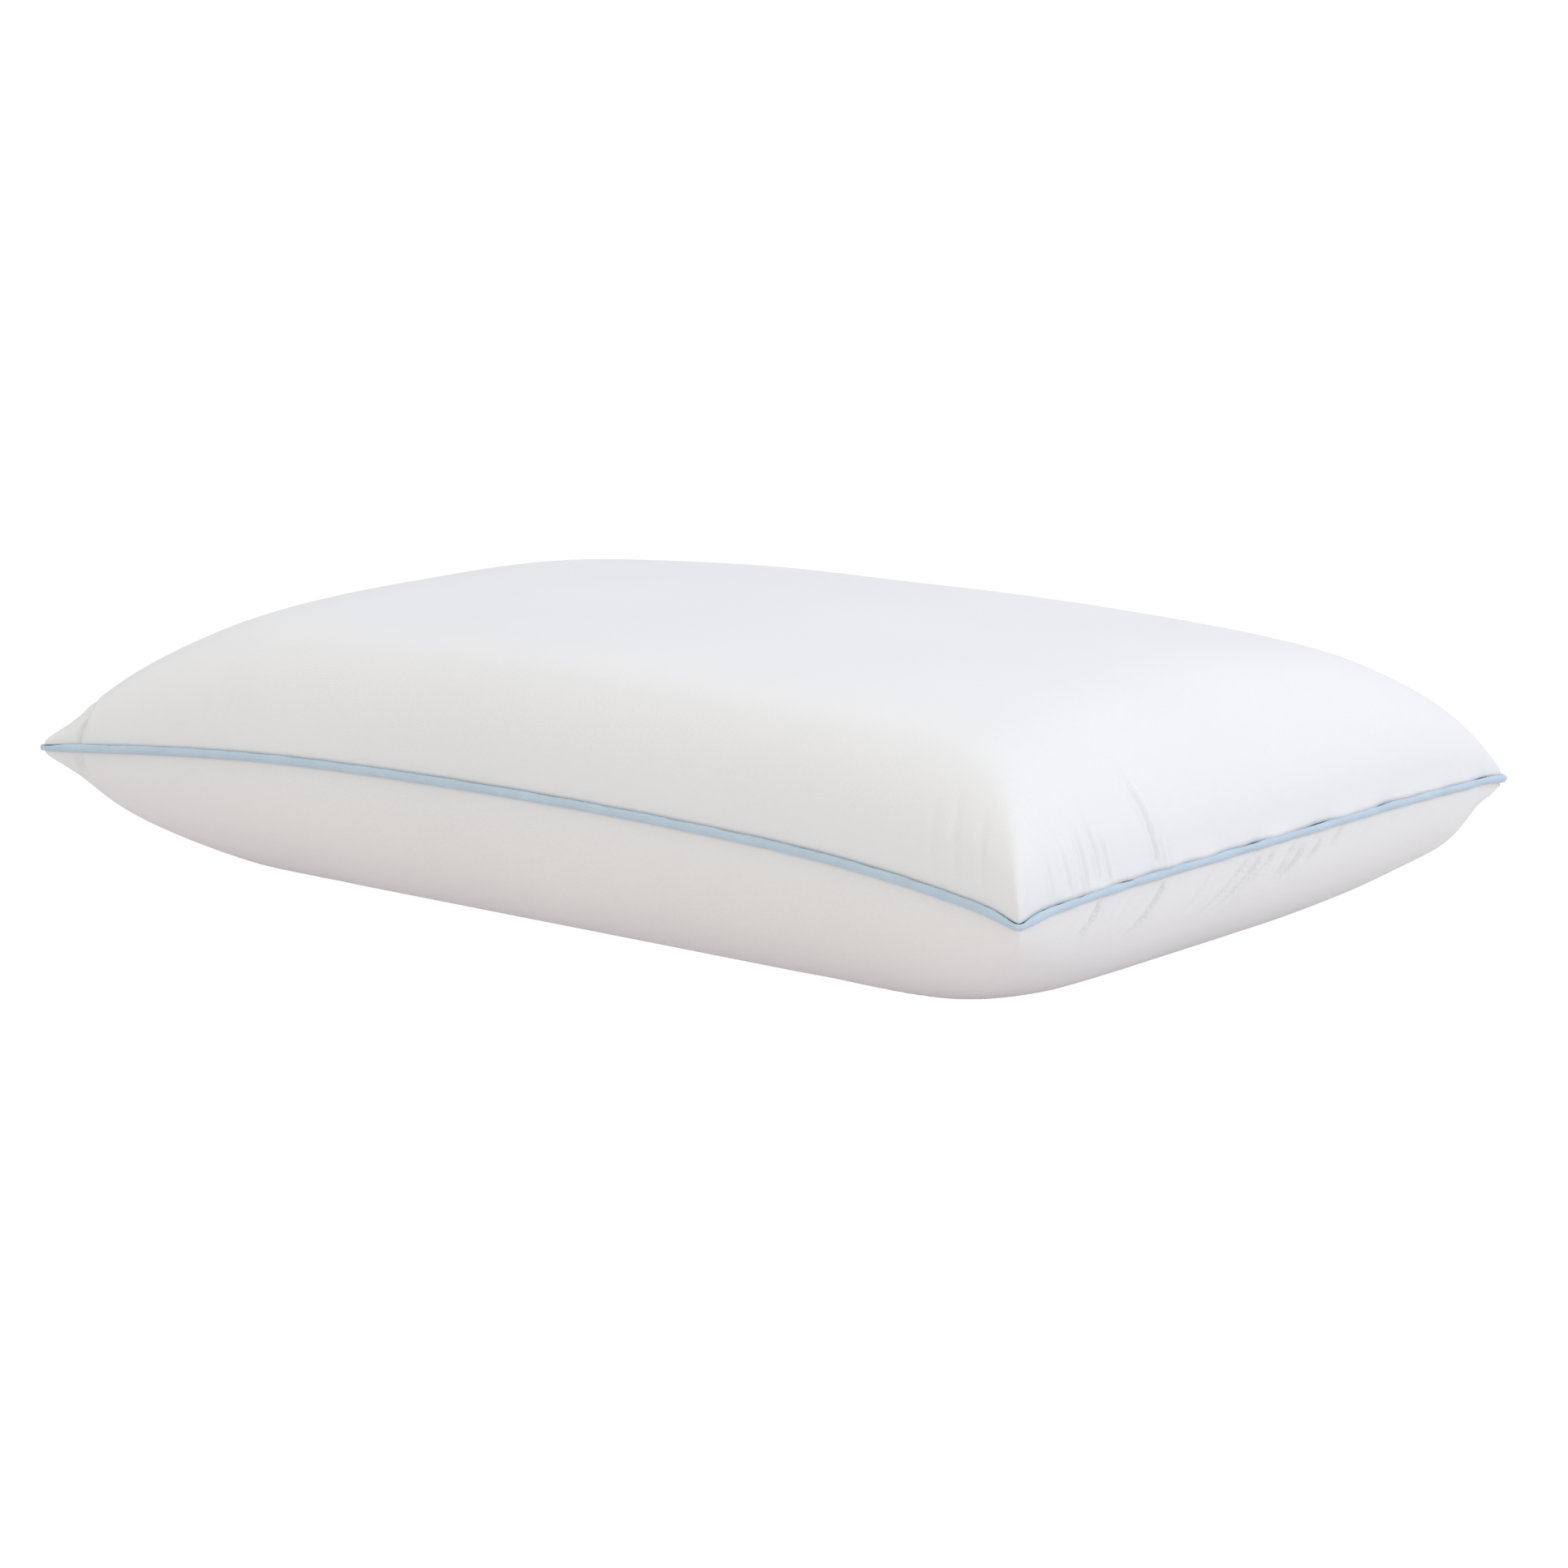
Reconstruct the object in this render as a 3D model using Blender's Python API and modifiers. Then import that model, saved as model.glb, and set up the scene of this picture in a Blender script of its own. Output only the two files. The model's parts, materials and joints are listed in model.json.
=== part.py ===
"""A piped bed pillow: a knit cover with a zip along its back, a liner and a foam core.

Metres, +Z up. The pillow lies on z = 0 with its length along X. Its back, with the zip, faces +Y.
The cover is two panels that meet at a piped seam around the middle of its height, in four ears.
"""

import math

import bmesh
import bpy
from mathutils import Matrix, Vector

# Driving dimensions of the made-up pillow, over the piping and from ear tip to ear tip
COVER_LENGTH = 0.660
COVER_WIDTH = 0.450
COVER_HEIGHT = 0.150
SEAM_HEIGHT = 0.062  # of the seam at the ears
SEAM_RISE = 0.0125  # more than that at the middle of each long side
END_BOW = 0.009  # how far the middle of a short end lies behind its ears
SIDE_BOW = 0.025  # the same for a long side
BOW_STRAIGHT = 0.45  # share of the front and the ends that stays straight

# Fullness: a high POWER makes flat faces and square edges, a low one makes a round form
TOP_PLAN_POWER = 4.3
TOP_PROFILE_POWER = 2.4
BOTTOM_PLAN_POWER = 5.5
BOTTOM_PROFILE_POWER = 2.5
BOTTOM_FLATTENING = 1.19  # above 1, the underside is cut flat where it rests

# Cloth, foam and thread
PANEL_THICKNESS = 0.0008
LINER_THICKNESS = 0.0006
GAP = 0.0003  # between pieces that touch
FACE_CLEARANCE = 0.0015  # cover to liner, over and under the core
CORE_CLEARANCE = 0.0012  # liner to core
CORE_CORNER_CUT = 0.008  # the block doesn't reach into the ears: its own corners are drawn in
SEAM_THREAD_RADIUS = 0.0005
STITCH_RADIUS = 0.00025

# Piping
PIPING_RADIUS = 0.0021
PIPING_CLOTH = 0.0004
PIPING_FLANGE = 0.0050  # seam allowance inside the cover
PIPING_SLIT = 0.0005  # between the two layers of the allowance
PIPING_OUT = 0.0016  # centre of the cord outside the edge of the panels
PANEL_EDGE = 0.0020  # edge of a panel above or below the middle of the seam
MITRE_LIMIT = 1.2  # how far the piping may stretch to turn an ear's tip

# Zip, under the piping of the back
ZIP_OPENING = 0.400
ZIP_DROP = 0.0085  # middle of the chain below the seam
TAPE_WIDTH = 0.0084
TAPE_THICKNESS = 0.0006
TAPE_SPACING = 0.0022
TAPE_SPARE = 0.012  # of tape past each end of the opening
COIL_RADIUS = 0.0008
NOTCH_DEPTH = 0.015  # of the bottom panel's edge below the seam, along the zip
NOTCH_SPARE = 0.006
SLIDER_LENGTH = 0.010
SLIDER_NOSE_WIDTH = 0.0086
SLIDER_TAIL_WIDTH = 0.0062
PLATE_THICKNESS = 0.0012
DIAMOND_WIDTH = 0.0015
BAIL_LENGTH = 0.0064
BAIL_WIDTH = 0.0014
BAIL_ROOM = 0.0022  # between the plate and the underside of the bail
BAIL_THICKNESS = 0.0008
PULL_LENGTH = 0.022
PULL_WIDTH = 0.0060
PULL_THICKNESS = 0.0012
PULL_BAR = 0.0009  # across the end of the pull, under the bail
STOP_LENGTH = 0.0022
TACK_WIDTH = 0.0016
TACK_HEIGHT = 0.010
TACK_THICKNESS = 0.0008

# Label in the back seam
LABEL_WIDTH = 0.030
LABEL_DROP = 0.022
LABEL_THICKNESS = 0.0005
LABEL_FROM_ZIP = 0.034  # middle of the label past the end of the opening

# Faces of a quarter of a panel: near an edge they grow smaller, for its round
COVER_COLUMNS, COVER_ROWS = 18, 14
LINER_COLUMNS, LINER_ROWS = 14, 10
SPACING_POWER = 0.3

# What follows from the sizes above
HALF_LENGTH = COVER_LENGTH / 2 - PIPING_OUT - PIPING_RADIUS
HALF_WIDTH = COVER_WIDTH / 2 - PIPING_OUT - PIPING_RADIUS
ZIP_STRAIGHT = (ZIP_OPENING / 2 + TAPE_SPARE + 0.004) / HALF_LENGTH
WALL_Y = HALF_WIDTH - SIDE_BOW  # outside of the cover along the zip
SEAM_Z = SEAM_HEIGHT + SEAM_RISE
CHAIN_Z = SEAM_Z - ZIP_DROP
SEAM_THREAD_IN = PIPING_FLANGE + GAP + SEAM_THREAD_RADIUS
LINER_THREAD_IN = SEAM_THREAD_IN + 2 * SEAM_THREAD_RADIUS + GAP
LINER_IN = LINER_THREAD_IN + SEAM_THREAD_RADIUS + GAP
LINER_EDGE = LINER_THICKNESS + GAP
CORE_IN = LINER_IN + LINER_THICKNESS + CORE_CLEARANCE

# Depths of the zip's layers, from the outside of the cover inwards
TAPE_Y = WALL_Y - 0.0030
TAPE_FACE_Y = TAPE_Y + TAPE_THICKNESS
COIL_Y = TAPE_FACE_Y + GAP + COIL_RADIUS
OUTER_PLATE_Y = COIL_Y + COIL_RADIUS + GAP
PLATE_FACE_Y = OUTER_PLATE_Y + PLATE_THICKNESS
INNER_PLATE_Y = TAPE_Y - GAP - PLATE_THICKNESS
PULL_Y = PLATE_FACE_Y + BAIL_ROOM / 2
COIL_CLOSED = GAP / 2 + COIL_RADIUS  # middle of each half chain from the middle of the zip
COIL_OPEN = DIAMOND_WIDTH / 2 + GAP + COIL_RADIUS  # the same beside the diamond
SLIDER_X = -ZIP_OPENING / 2 + SLIDER_LENGTH / 2 + GAP  # closed: parked at the top stops


def clear_scene():
    for obj in list(bpy.data.objects):
        bpy.data.objects.remove(obj, do_unlink=True)
    for collection in list(bpy.data.collections):
        bpy.data.collections.remove(collection)


def new_collection(name):
    collection = bpy.data.collections.new(name)
    bpy.context.scene.collection.children.link(collection)
    return collection


def material(name, color, roughness, metallic=0.0):
    made = bpy.data.materials.new(name)
    made.use_nodes = True
    shader = made.node_tree.nodes["Principled BSDF"]
    shader.inputs["Base Color"].default_value = (*color, 1.0)
    shader.inputs["Roughness"].default_value = roughness
    shader.inputs["Metallic"].default_value = metallic
    made.diffuse_color = (*color, 1.0)
    return made


def add_mesh(name, bm, collection, finish=None):
    """A smooth-shaded object made from bm, in the collection."""
    bmesh.ops.recalc_face_normals(bm, faces=bm.faces)
    if bm.calc_volume(signed=True) < 0:
        bmesh.ops.reverse_faces(bm, faces=bm.faces)
    mesh = bpy.data.meshes.new(name)
    bm.to_mesh(mesh)
    bm.free()
    mesh.shade_smooth()
    mesh.set_sharp_from_angle(angle=math.radians(40))
    obj = bpy.data.objects.new(name, mesh)
    collection.objects.link(obj)
    if finish:
        mesh.materials.append(finish)
    return obj


def spaced(t):
    """A place from -1 to 1 along a side, for t from -1 to 1: closer together near the ends."""
    return math.copysign(math.sin(abs(t) * math.pi / 2) ** SPACING_POWER, t)


def fullness(place, plan_power, profile_power):
    """How much of the full height is left at this place along a side."""
    return max(1 - abs(place) ** plan_power, 0.0) ** (1 / profile_power)


def ramp(place, straight):
    """0 on the straight middle of a side, growing to 1 at its ends."""
    return max((abs(place) - straight) / (1 - straight), 0.0) ** 2


def plan(p, q, inset, eared=True):
    """The point at p, q from -1 to 1, on an outline that lies inset inside the cover's edge."""
    backness = (1 + q) / 2
    straight = BOW_STRAIGHT + (ZIP_STRAIGHT - BOW_STRAIGHT) * backness
    end_reach = END_BOW if eared else -CORE_CORNER_CUT
    side_reach = SIDE_BOW if eared else -CORE_CORNER_CUT
    length = HALF_LENGTH - inset - END_BOW + end_reach * ramp(q, BOW_STRAIGHT)
    width = HALF_WIDTH - inset - SIDE_BOW + side_reach * ramp(p, straight)
    return p * length, q * width


def seam_z(p, q):
    """Height of the middle of the seam, carried on inside the pillow."""
    straight = ZIP_STRAIGHT * (1 + q) / 2
    return SEAM_HEIGHT + SEAM_RISE * (1 - ramp(p, straight))


def top_point(p, q, inset, face_inset, edge, eared=True):
    x, y = plan(p, q, inset, eared)
    powers = TOP_PLAN_POWER, TOP_PROFILE_POWER
    base = seam_z(p, q) + edge
    rise = fullness(p, *powers) * fullness(q, *powers)
    return Vector((x, y, base + (COVER_HEIGHT - face_inset - base) * rise))


def bottom_point(p, q, inset, face_inset, edge, eared=True):
    x, y = plan(p, q, inset, eared)
    powers = BOTTOM_PLAN_POWER, BOTTOM_PROFILE_POWER
    base = seam_z(p, q) - edge
    fall = BOTTOM_FLATTENING * fullness(p, *powers) * fullness(q, *powers)
    return Vector((x, y, max(base - (base - face_inset) * fall, face_inset)))


def shaped_grid(bm, columns, rows, point):
    """Adds a grid whose every corner is moved to point(p, q)."""
    made = bmesh.ops.create_grid(bm, x_segments=columns, y_segments=rows, size=1.0)
    for vert in made["verts"]:
        vert.co = point(spaced(vert.co.x), spaced(vert.co.y))
    return made["verts"]


def panel_shell(name, point, thickness, columns, rows, upper, finish, collection):
    """One open sheet of the pillow's outside, thickened inwards."""
    bm = bmesh.new()
    shaped_grid(bm, columns, rows, point)
    mesh = bpy.data.meshes.new(name)
    if not upper:
        bmesh.ops.reverse_faces(bm, faces=bm.faces)
    bm.to_mesh(mesh)
    bm.free()
    mesh.shade_smooth()
    mesh.materials.append(finish)
    obj = bpy.data.objects.new(name, mesh)
    collection.objects.link(obj)
    solid = obj.modifiers.new("Thickness", "SOLIDIFY")
    solid.thickness = thickness
    solid.offset = -1
    return obj


def closed_form(name, points, columns, rows, finish, collection):
    """A body whose upper and lower faces meet in one edge around it."""
    bm = bmesh.new()
    for point in points:
        shaped_grid(bm, columns, rows, point)
    bmesh.ops.remove_doubles(bm, verts=bm.verts, dist=0.00001)
    return add_mesh(name, bm, collection, finish)


def outline_places(columns, rows):
    """The places around the seam, counter-clockwise from the front left ear."""
    along = [spaced(2 * i / columns - 1) for i in range(columns)]
    across = [spaced(2 * i / rows - 1) for i in range(rows)]
    front = [(p, -1.0) for p in along]
    right = [(1.0, q) for q in across]
    back = [(-p, 1.0) for p in along]
    left = [(-1.0, -q) for q in across]
    return front + right + back + left


def offset_outline(places, out, eared):
    """The outline moved outwards: square to itself outside the edge, and towards the middle inside it."""
    edge = [Vector(plan(p, q, max(-out, 0.0), eared)) for p, q in places]
    if out <= 0:
        return edge
    moved = []
    for i, here in enumerate(edge):
        before = (here - edge[i - 1]).normalized()
        after = (edge[(i + 1) % len(edge)] - here).normalized()
        normal = Vector((before.y + after.y, -before.x - after.x)).normalized()
        mitre = 1 / max(normal.dot(Vector((after.y, -after.x))), 1 / MITRE_LIMIT)
        moved.append(here + normal * out * mitre)
    return moved


def ring(name, section, columns, rows, eared, finish, collection):
    """A closed band along the seam: section lists (outwards, upwards) from the panels' edge."""
    places = outline_places(columns, rows)
    outlines = [offset_outline(places, out, eared) for out, _ in section]
    bpy.ops.mesh.primitive_torus_add(major_segments=len(places), minor_segments=len(section))
    obj = bpy.context.active_object
    bm = bmesh.new()
    bm.from_mesh(obj.data)
    bm.verts.ensure_lookup_table()
    for i, vert in enumerate(bm.verts):
        along, around = divmod(i, len(section))
        x, y = outlines[around][along]
        vert.co = Vector((x, y, seam_z(*places[along]) + section[around][1]))
    bpy.data.objects.remove(obj, do_unlink=True)
    return add_mesh(name, bm, collection, finish)


def arc(centre, radius, start, end, count):
    """Points (outwards, upwards) on an arc between two angles in degrees."""
    angles = [math.radians(start + (end - start) * i / (count - 1)) for i in range(count)]
    return [(centre + radius * math.cos(a), radius * math.sin(a)) for a in angles]


def circle(centre, radius, count):
    return arc(centre, radius, 0, 360, count + 1)[:-1]


def box(name, low, high, collection, finish=None, bevel=0.0):
    """A box between two corners, given as (x, y, z)."""
    low, high = Vector(low), Vector(high)
    bm = bmesh.new()
    size = Matrix.Diagonal((*(high - low), 1.0))
    bmesh.ops.create_cube(bm, size=1.0, matrix=Matrix.Translation((low + high) / 2) @ size)
    obj = add_mesh(name, bm, collection, finish)
    if bevel:
        rounding = obj.modifiers.new("Rounding", "BEVEL")
        rounding.width = bevel
        rounding.segments = 2
        rounding.limit_method = "ANGLE"
    return obj


def rod(name, points, radius, finish, collection):
    """A wire through the points."""
    curve = bpy.data.curves.new(name, "CURVE")
    curve.dimensions = "3D"
    curve.bevel_depth = radius
    curve.bevel_resolution = 2
    curve.use_fill_caps = True
    spline = curve.splines.new("POLY")
    spline.points.add(len(points) - 1)
    for target, point in zip(spline.points, points):
        target.co = (*point, 1.0)
    curve.materials.append(finish)
    obj = bpy.data.objects.new(name, curve)
    collection.objects.link(obj)
    return obj


def flat_piece(name, outlines, thickness, collection, finish=None):
    """A plate standing in the XZ plane, from closed outlines of (x, z): the first is the edge, the rest holes."""
    curve = bpy.data.curves.new(name, "CURVE")
    curve.dimensions = "2D"
    curve.fill_mode = "BOTH"
    curve.extrude = thickness / 2
    for outline in outlines:
        spline = curve.splines.new("POLY")
        spline.points.add(len(outline) - 1)
        spline.use_cyclic_u = True
        for target, (x, z) in zip(spline.points, outline):
            target.co = (x, z, 0.0, 1.0)
    flat = bpy.data.objects.new(name + "_outline", curve)
    collection.objects.link(flat)
    bpy.context.view_layer.update()
    evaluated = flat.evaluated_get(bpy.context.evaluated_depsgraph_get())
    mesh = bpy.data.meshes.new_from_object(evaluated)
    bpy.data.objects.remove(flat, do_unlink=True)
    bm = bmesh.new()
    bm.from_mesh(mesh)
    bpy.data.meshes.remove(mesh)
    bmesh.ops.remove_doubles(bm, verts=bm.verts, dist=0.000001)
    bmesh.ops.rotate(bm, verts=bm.verts, matrix=Matrix.Rotation(math.pi / 2, 3, "X"))
    return add_mesh(name, bm, collection, finish)


def rounded_outline(left, right, bottom, top, radius, steps=4):
    """A rectangle of (x, z) with round corners."""
    corners = ((right, top, 0), (left, top, 90), (left, bottom, 180), (right, bottom, 270))
    points = []
    for x, z, start in corners:
        centre_x = x - radius if x == right else x + radius
        centre_z = z - radius if z == top else z + radius
        for i in range(steps + 1):
            angle = math.radians(start + 90 * i / steps)
            points.append((centre_x + radius * math.cos(angle), centre_z + radius * math.sin(angle)))
    return points


def combine(obj, other, operation):
    """Adds a Boolean with the other object, which is then only a cutter."""
    other.hide_render = True
    other.display_type = "WIRE"
    boolean = obj.modifiers.new(operation.title(), "BOOLEAN")
    boolean.operation = operation
    boolean.solver = "EXACT"
    boolean.object = other


def make_cover(parts, cutters):
    cloth = material("cover_knit", (0.86, 0.86, 0.87), 0.85)

    def top(p, q):
        return top_point(p, q, 0.0, 0.0, PANEL_EDGE)

    def bottom(p, q):
        return bottom_point(p, q, 0.0, 0.0, PANEL_EDGE)

    size = COVER_COLUMNS, COVER_ROWS
    panel_shell("cover_top_panel", top, PANEL_THICKNESS, *size, True, cloth, parts)
    lower = panel_shell("cover_bottom_panel", bottom, PANEL_THICKNESS, *size, False, cloth, parts)
    reach = ZIP_OPENING / 2 + NOTCH_SPARE
    notch = box(
        "zip_notch",
        (-reach, WALL_Y - 4 * PANEL_THICKNESS, SEAM_Z - NOTCH_DEPTH),
        (reach, WALL_Y + SIDE_BOW, SEAM_Z + PANEL_EDGE),
        cutters,
    )
    combine(lower, notch, "DIFFERENCE")
    thread = material("cover_thread", (0.82, 0.83, 0.85), 0.7)
    section = circle(-SEAM_THREAD_IN, SEAM_THREAD_RADIUS, 6)
    ring("cover_seam_thread", section, COVER_COLUMNS, COVER_ROWS, True, thread, parts)


def piping_section():
    """The strip folded round the cord, with its two layers run inwards as the seam allowance."""
    inner = PIPING_RADIUS - PIPING_CLOTH
    slit = PIPING_SLIT / 2
    outside = slit + PIPING_CLOTH
    neck = 180 - math.degrees(math.asin(outside / PIPING_RADIUS))
    throat = 180 - math.degrees(math.asin(slit / inner))
    section = [(-PIPING_FLANGE, -outside)]
    section += arc(PIPING_OUT, PIPING_RADIUS, -neck, neck, 8)
    section += [(-PIPING_FLANGE, outside), (-PIPING_FLANGE, slit)]
    section += arc(PIPING_OUT, inner, throat, -throat, 9)
    section += [(-PIPING_FLANGE, -slit)]
    return section


def make_piping(parts):
    size = COVER_COLUMNS, COVER_ROWS
    cloth = material("piping_cloth", (0.42, 0.55, 0.64), 0.75)
    ring("piping_wrap", piping_section(), *size, True, cloth, parts)
    cotton = material("piping_cotton", (0.80, 0.79, 0.76), 0.9)
    radius = PIPING_RADIUS - PIPING_CLOTH - GAP
    ring("piping_cord", circle(PIPING_OUT, radius, 8), *size, True, cotton, parts)


def make_liner(parts):
    cloth = material("liner_knit", (0.80, 0.80, 0.79), 0.9)
    face = PANEL_THICKNESS + FACE_CLEARANCE
    shape = LINER_IN, face, LINER_EDGE, False
    size = LINER_COLUMNS, LINER_ROWS

    def top(p, q):
        return top_point(p, q, *shape)

    def bottom(p, q):
        return bottom_point(p, q, *shape)

    panel_shell("liner_upper_panel", top, LINER_THICKNESS, *size, True, cloth, parts)
    panel_shell("liner_lower_panel", bottom, LINER_THICKNESS, *size, False, cloth, parts)
    thread = material("liner_thread", (0.78, 0.78, 0.78), 0.7)
    section = circle(-LINER_THREAD_IN, SEAM_THREAD_RADIUS, 6)
    ring("liner_seam_thread", section, *size, False, thread, parts)


def make_core(parts):
    foam = material("memory_foam", (0.78, 0.76, 0.66), 0.95)
    face = PANEL_THICKNESS + FACE_CLEARANCE + LINER_THICKNESS + CORE_CLEARANCE
    shape = CORE_IN, face, 0.0, False

    def top(p, q):
        return top_point(p, q, *shape)

    def bottom(p, q):
        return bottom_point(p, q, *shape)

    closed_form("foam_core", (top, bottom), LINER_COLUMNS, LINER_ROWS, foam, parts)


def make_tapes_and_coils(parts):
    tape = material("zip_tape_cloth", (0.84, 0.85, 0.86), 0.8)
    nylon = material("zip_nylon", (0.88, 0.89, 0.90), 0.4)
    reach = ZIP_OPENING / 2 + TAPE_SPARE
    top_x = -ZIP_OPENING / 2 - 0.0025
    bottom_x = ZIP_OPENING / 2 - GAP
    for side, name in ((1, "upper"), (-1, "lower")):
        edges = sorted((side * TAPE_SPACING / 2, side * min(TAPE_WIDTH, ZIP_DROP - PANEL_EDGE)))
        if side < 0:
            edges[0] = -TAPE_WIDTH
        low = (-reach, TAPE_Y, CHAIN_Z + edges[0])
        high = (reach, TAPE_FACE_Y, CHAIN_Z + edges[1])
        box(f"zip_tape_{name}", low, high, parts, tape)
        shut = CHAIN_Z + side * COIL_CLOSED
        parted = CHAIN_Z + side * COIL_OPEN
        route = [
            (bottom_x, COIL_Y, shut),
            (SLIDER_X + 0.0005, COIL_Y, shut),
            (SLIDER_X - 0.0015, COIL_Y, (shut + parted) / 2 + side * GAP),
            (SLIDER_X - 0.0030, COIL_Y, parted),
            (top_x, COIL_Y, parted),
        ]
        rod(f"zip_coil_{name}", route, COIL_RADIUS, nylon, parts)


def make_stops(parts):
    steel = material("zip_metal", (0.70, 0.71, 0.73), 0.3, 1.0)
    inside, outside = COIL_Y - COIL_RADIUS, COIL_Y + COIL_RADIUS + GAP
    top_x = -ZIP_OPENING / 2 - 0.0025 - GAP
    for side, name in ((1, "upper"), (-1, "lower")):
        middle = CHAIN_Z + side * COIL_OPEN
        low = (top_x - STOP_LENGTH, inside, middle - COIL_RADIUS)
        high = (top_x, outside, middle + COIL_RADIUS)
        box(f"zip_top_stop_{name}", low, high, parts, steel, bevel=0.0003)
    reach = COIL_CLOSED + COIL_RADIUS
    low = (ZIP_OPENING / 2, inside, CHAIN_Z - reach)
    high = (ZIP_OPENING / 2 + STOP_LENGTH, outside, CHAIN_Z + reach)
    box("zip_bottom_stop", low, high, parts, steel, bevel=0.0003)
    return steel


def slider_outline():
    """A shield of (x, z): wide at the nose, where the halves part, and narrower at the tail."""
    half, nose, tail = SLIDER_LENGTH / 2, SLIDER_NOSE_WIDTH / 2, SLIDER_TAIL_WIDTH / 2
    upper = [(half, 0.7 * tail), (0.8 * half, tail), (0.0, tail), (-0.3 * half, nose)]
    upper += [(-0.7 * half, nose), (-half, 0.55 * nose)]
    lower = [(x, -z) for x, z in reversed(upper)]
    return upper + lower


def make_slider(parts, cutters, steel):
    """Two plates on a diamond-shaped post, flanges beside the closed chain and a bail on the outside."""
    slider = flat_piece("zip_slider_body", [slider_outline()], PLATE_THICKNESS, parts, steel)
    slider.location = (SLIDER_X, (OUTER_PLATE_Y + PLATE_FACE_Y) / 2, CHAIN_Z)
    inner = flat_piece("slider_inner_plate", [slider_outline()], PLATE_THICKNESS, cutters)
    inner.location = (SLIDER_X, INNER_PLATE_Y + PLATE_THICKNESS / 2, CHAIN_Z)
    half, wide = SLIDER_LENGTH / 2, DIAMOND_WIDTH / 2
    diamond = [(-0.15 * half, 0.0), (-0.5 * half, wide), (-0.8 * half, wide), (-0.95 * half, 0.0)]
    diamond += [(-0.8 * half, -wide), (-0.5 * half, -wide)]
    bite = PLATE_THICKNESS / 2  # what is joined on reaches this far into the plates
    low, high = INNER_PLATE_Y + bite, OUTER_PLATE_Y + bite
    post = flat_piece("slider_diamond", [diamond[::-1]], high - low, cutters)
    post.location = (SLIDER_X, (low + high) / 2, CHAIN_Z)
    joined = [inner, post]
    chain_side = COIL_CLOSED + COIL_RADIUS + GAP
    for side in (1, -1):
        z = sorted((side * chain_side, side * 0.97 * SLIDER_TAIL_WIDTH / 2))
        joined.append(
            box(
                f"slider_flange_{side}",
                (SLIDER_X + 0.1 * half, TAPE_FACE_Y + GAP, CHAIN_Z + z[0]),
                (SLIDER_X + 0.75 * half, high, CHAIN_Z + z[1]),
                cutters,
            )
        )
    top = PLATE_FACE_Y + BAIL_ROOM
    reach = BAIL_LENGTH / 2
    bail = box(
        "slider_bail",
        (SLIDER_X - reach, PLATE_FACE_Y - bite, CHAIN_Z - BAIL_WIDTH / 2),
        (SLIDER_X + reach, top + BAIL_THICKNESS, CHAIN_Z + BAIL_WIDTH / 2),
        cutters,
        bevel=0.0004,
    )
    window = box(
        "bail_window",
        (SLIDER_X - reach + BAIL_THICKNESS, PLATE_FACE_Y, CHAIN_Z - BAIL_WIDTH),
        (SLIDER_X + reach - BAIL_THICKNESS, top, CHAIN_Z + BAIL_WIDTH),
        cutters,
    )
    for piece in joined + [bail]:
        combine(slider, piece, "UNION")
    combine(slider, window, "DIFFERENCE")
    return slider


def make_pull(parts, steel, slider):
    """A flat tab with a window for the bail, turning on the bar at its end."""
    eye = BAIL_WIDTH / 2 + 0.0004
    bar = PULL_BAR / 2
    window_end = BAIL_LENGTH / 2 + 0.0020
    half = PULL_WIDTH / 2
    tip = PULL_LENGTH - bar
    outline = rounded_outline(-bar, tip, -half, half, 0.0006 + half / 3)
    window = rounded_outline(bar, window_end, -eye, eye, 0.0003)
    hole = rounded_outline(tip - 0.0042, tip - 0.0018, -0.0012, 0.0012, 0.00115)
    pull = flat_piece("zip_pull_tab", [outline, window, hole], PULL_THICKNESS, parts, steel)
    pull.location = (SLIDER_X, PULL_Y, CHAIN_Z)
    bpy.context.view_layer.update()
    pull.parent = slider
    pull.matrix_parent_inverse = slider.matrix_world.inverted()


def wall_y(drop):
    """The outside of the bottom panel along the zip, this far below the seam."""
    share = drop / (BOTTOM_FLATTENING * SEAM_Z)
    return WALL_Y * (1 - share**BOTTOM_PROFILE_POWER) ** (1 / BOTTOM_PLAN_POWER)


def make_stitching(parts):
    thread = material("zip_thread", (0.80, 0.82, 0.85), 0.6)
    reach = ZIP_OPENING / 2 + NOTCH_SPARE
    drop = NOTCH_DEPTH + 0.002
    y = wall_y(drop) + GAP + STITCH_RADIUS
    ends = [(-reach, y, SEAM_Z - drop), (reach, y, SEAM_Z - drop)]
    rod("zip_topstitch", ends, STITCH_RADIUS, thread, parts)
    near = WALL_Y + 2 * GAP
    top = SEAM_Z - PIPING_RADIUS - 2 * GAP
    for side, name in ((-1, "left"), (1, "right")):
        middle = side * (reach + TACK_WIDTH)
        low = (middle - TACK_WIDTH / 2, near, top - TACK_HEIGHT)
        high = (middle + TACK_WIDTH / 2, near + TACK_THICKNESS, top)
        box(f"zip_bar_tack_{name}", low, high, parts, thread, bevel=0.0002)


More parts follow.
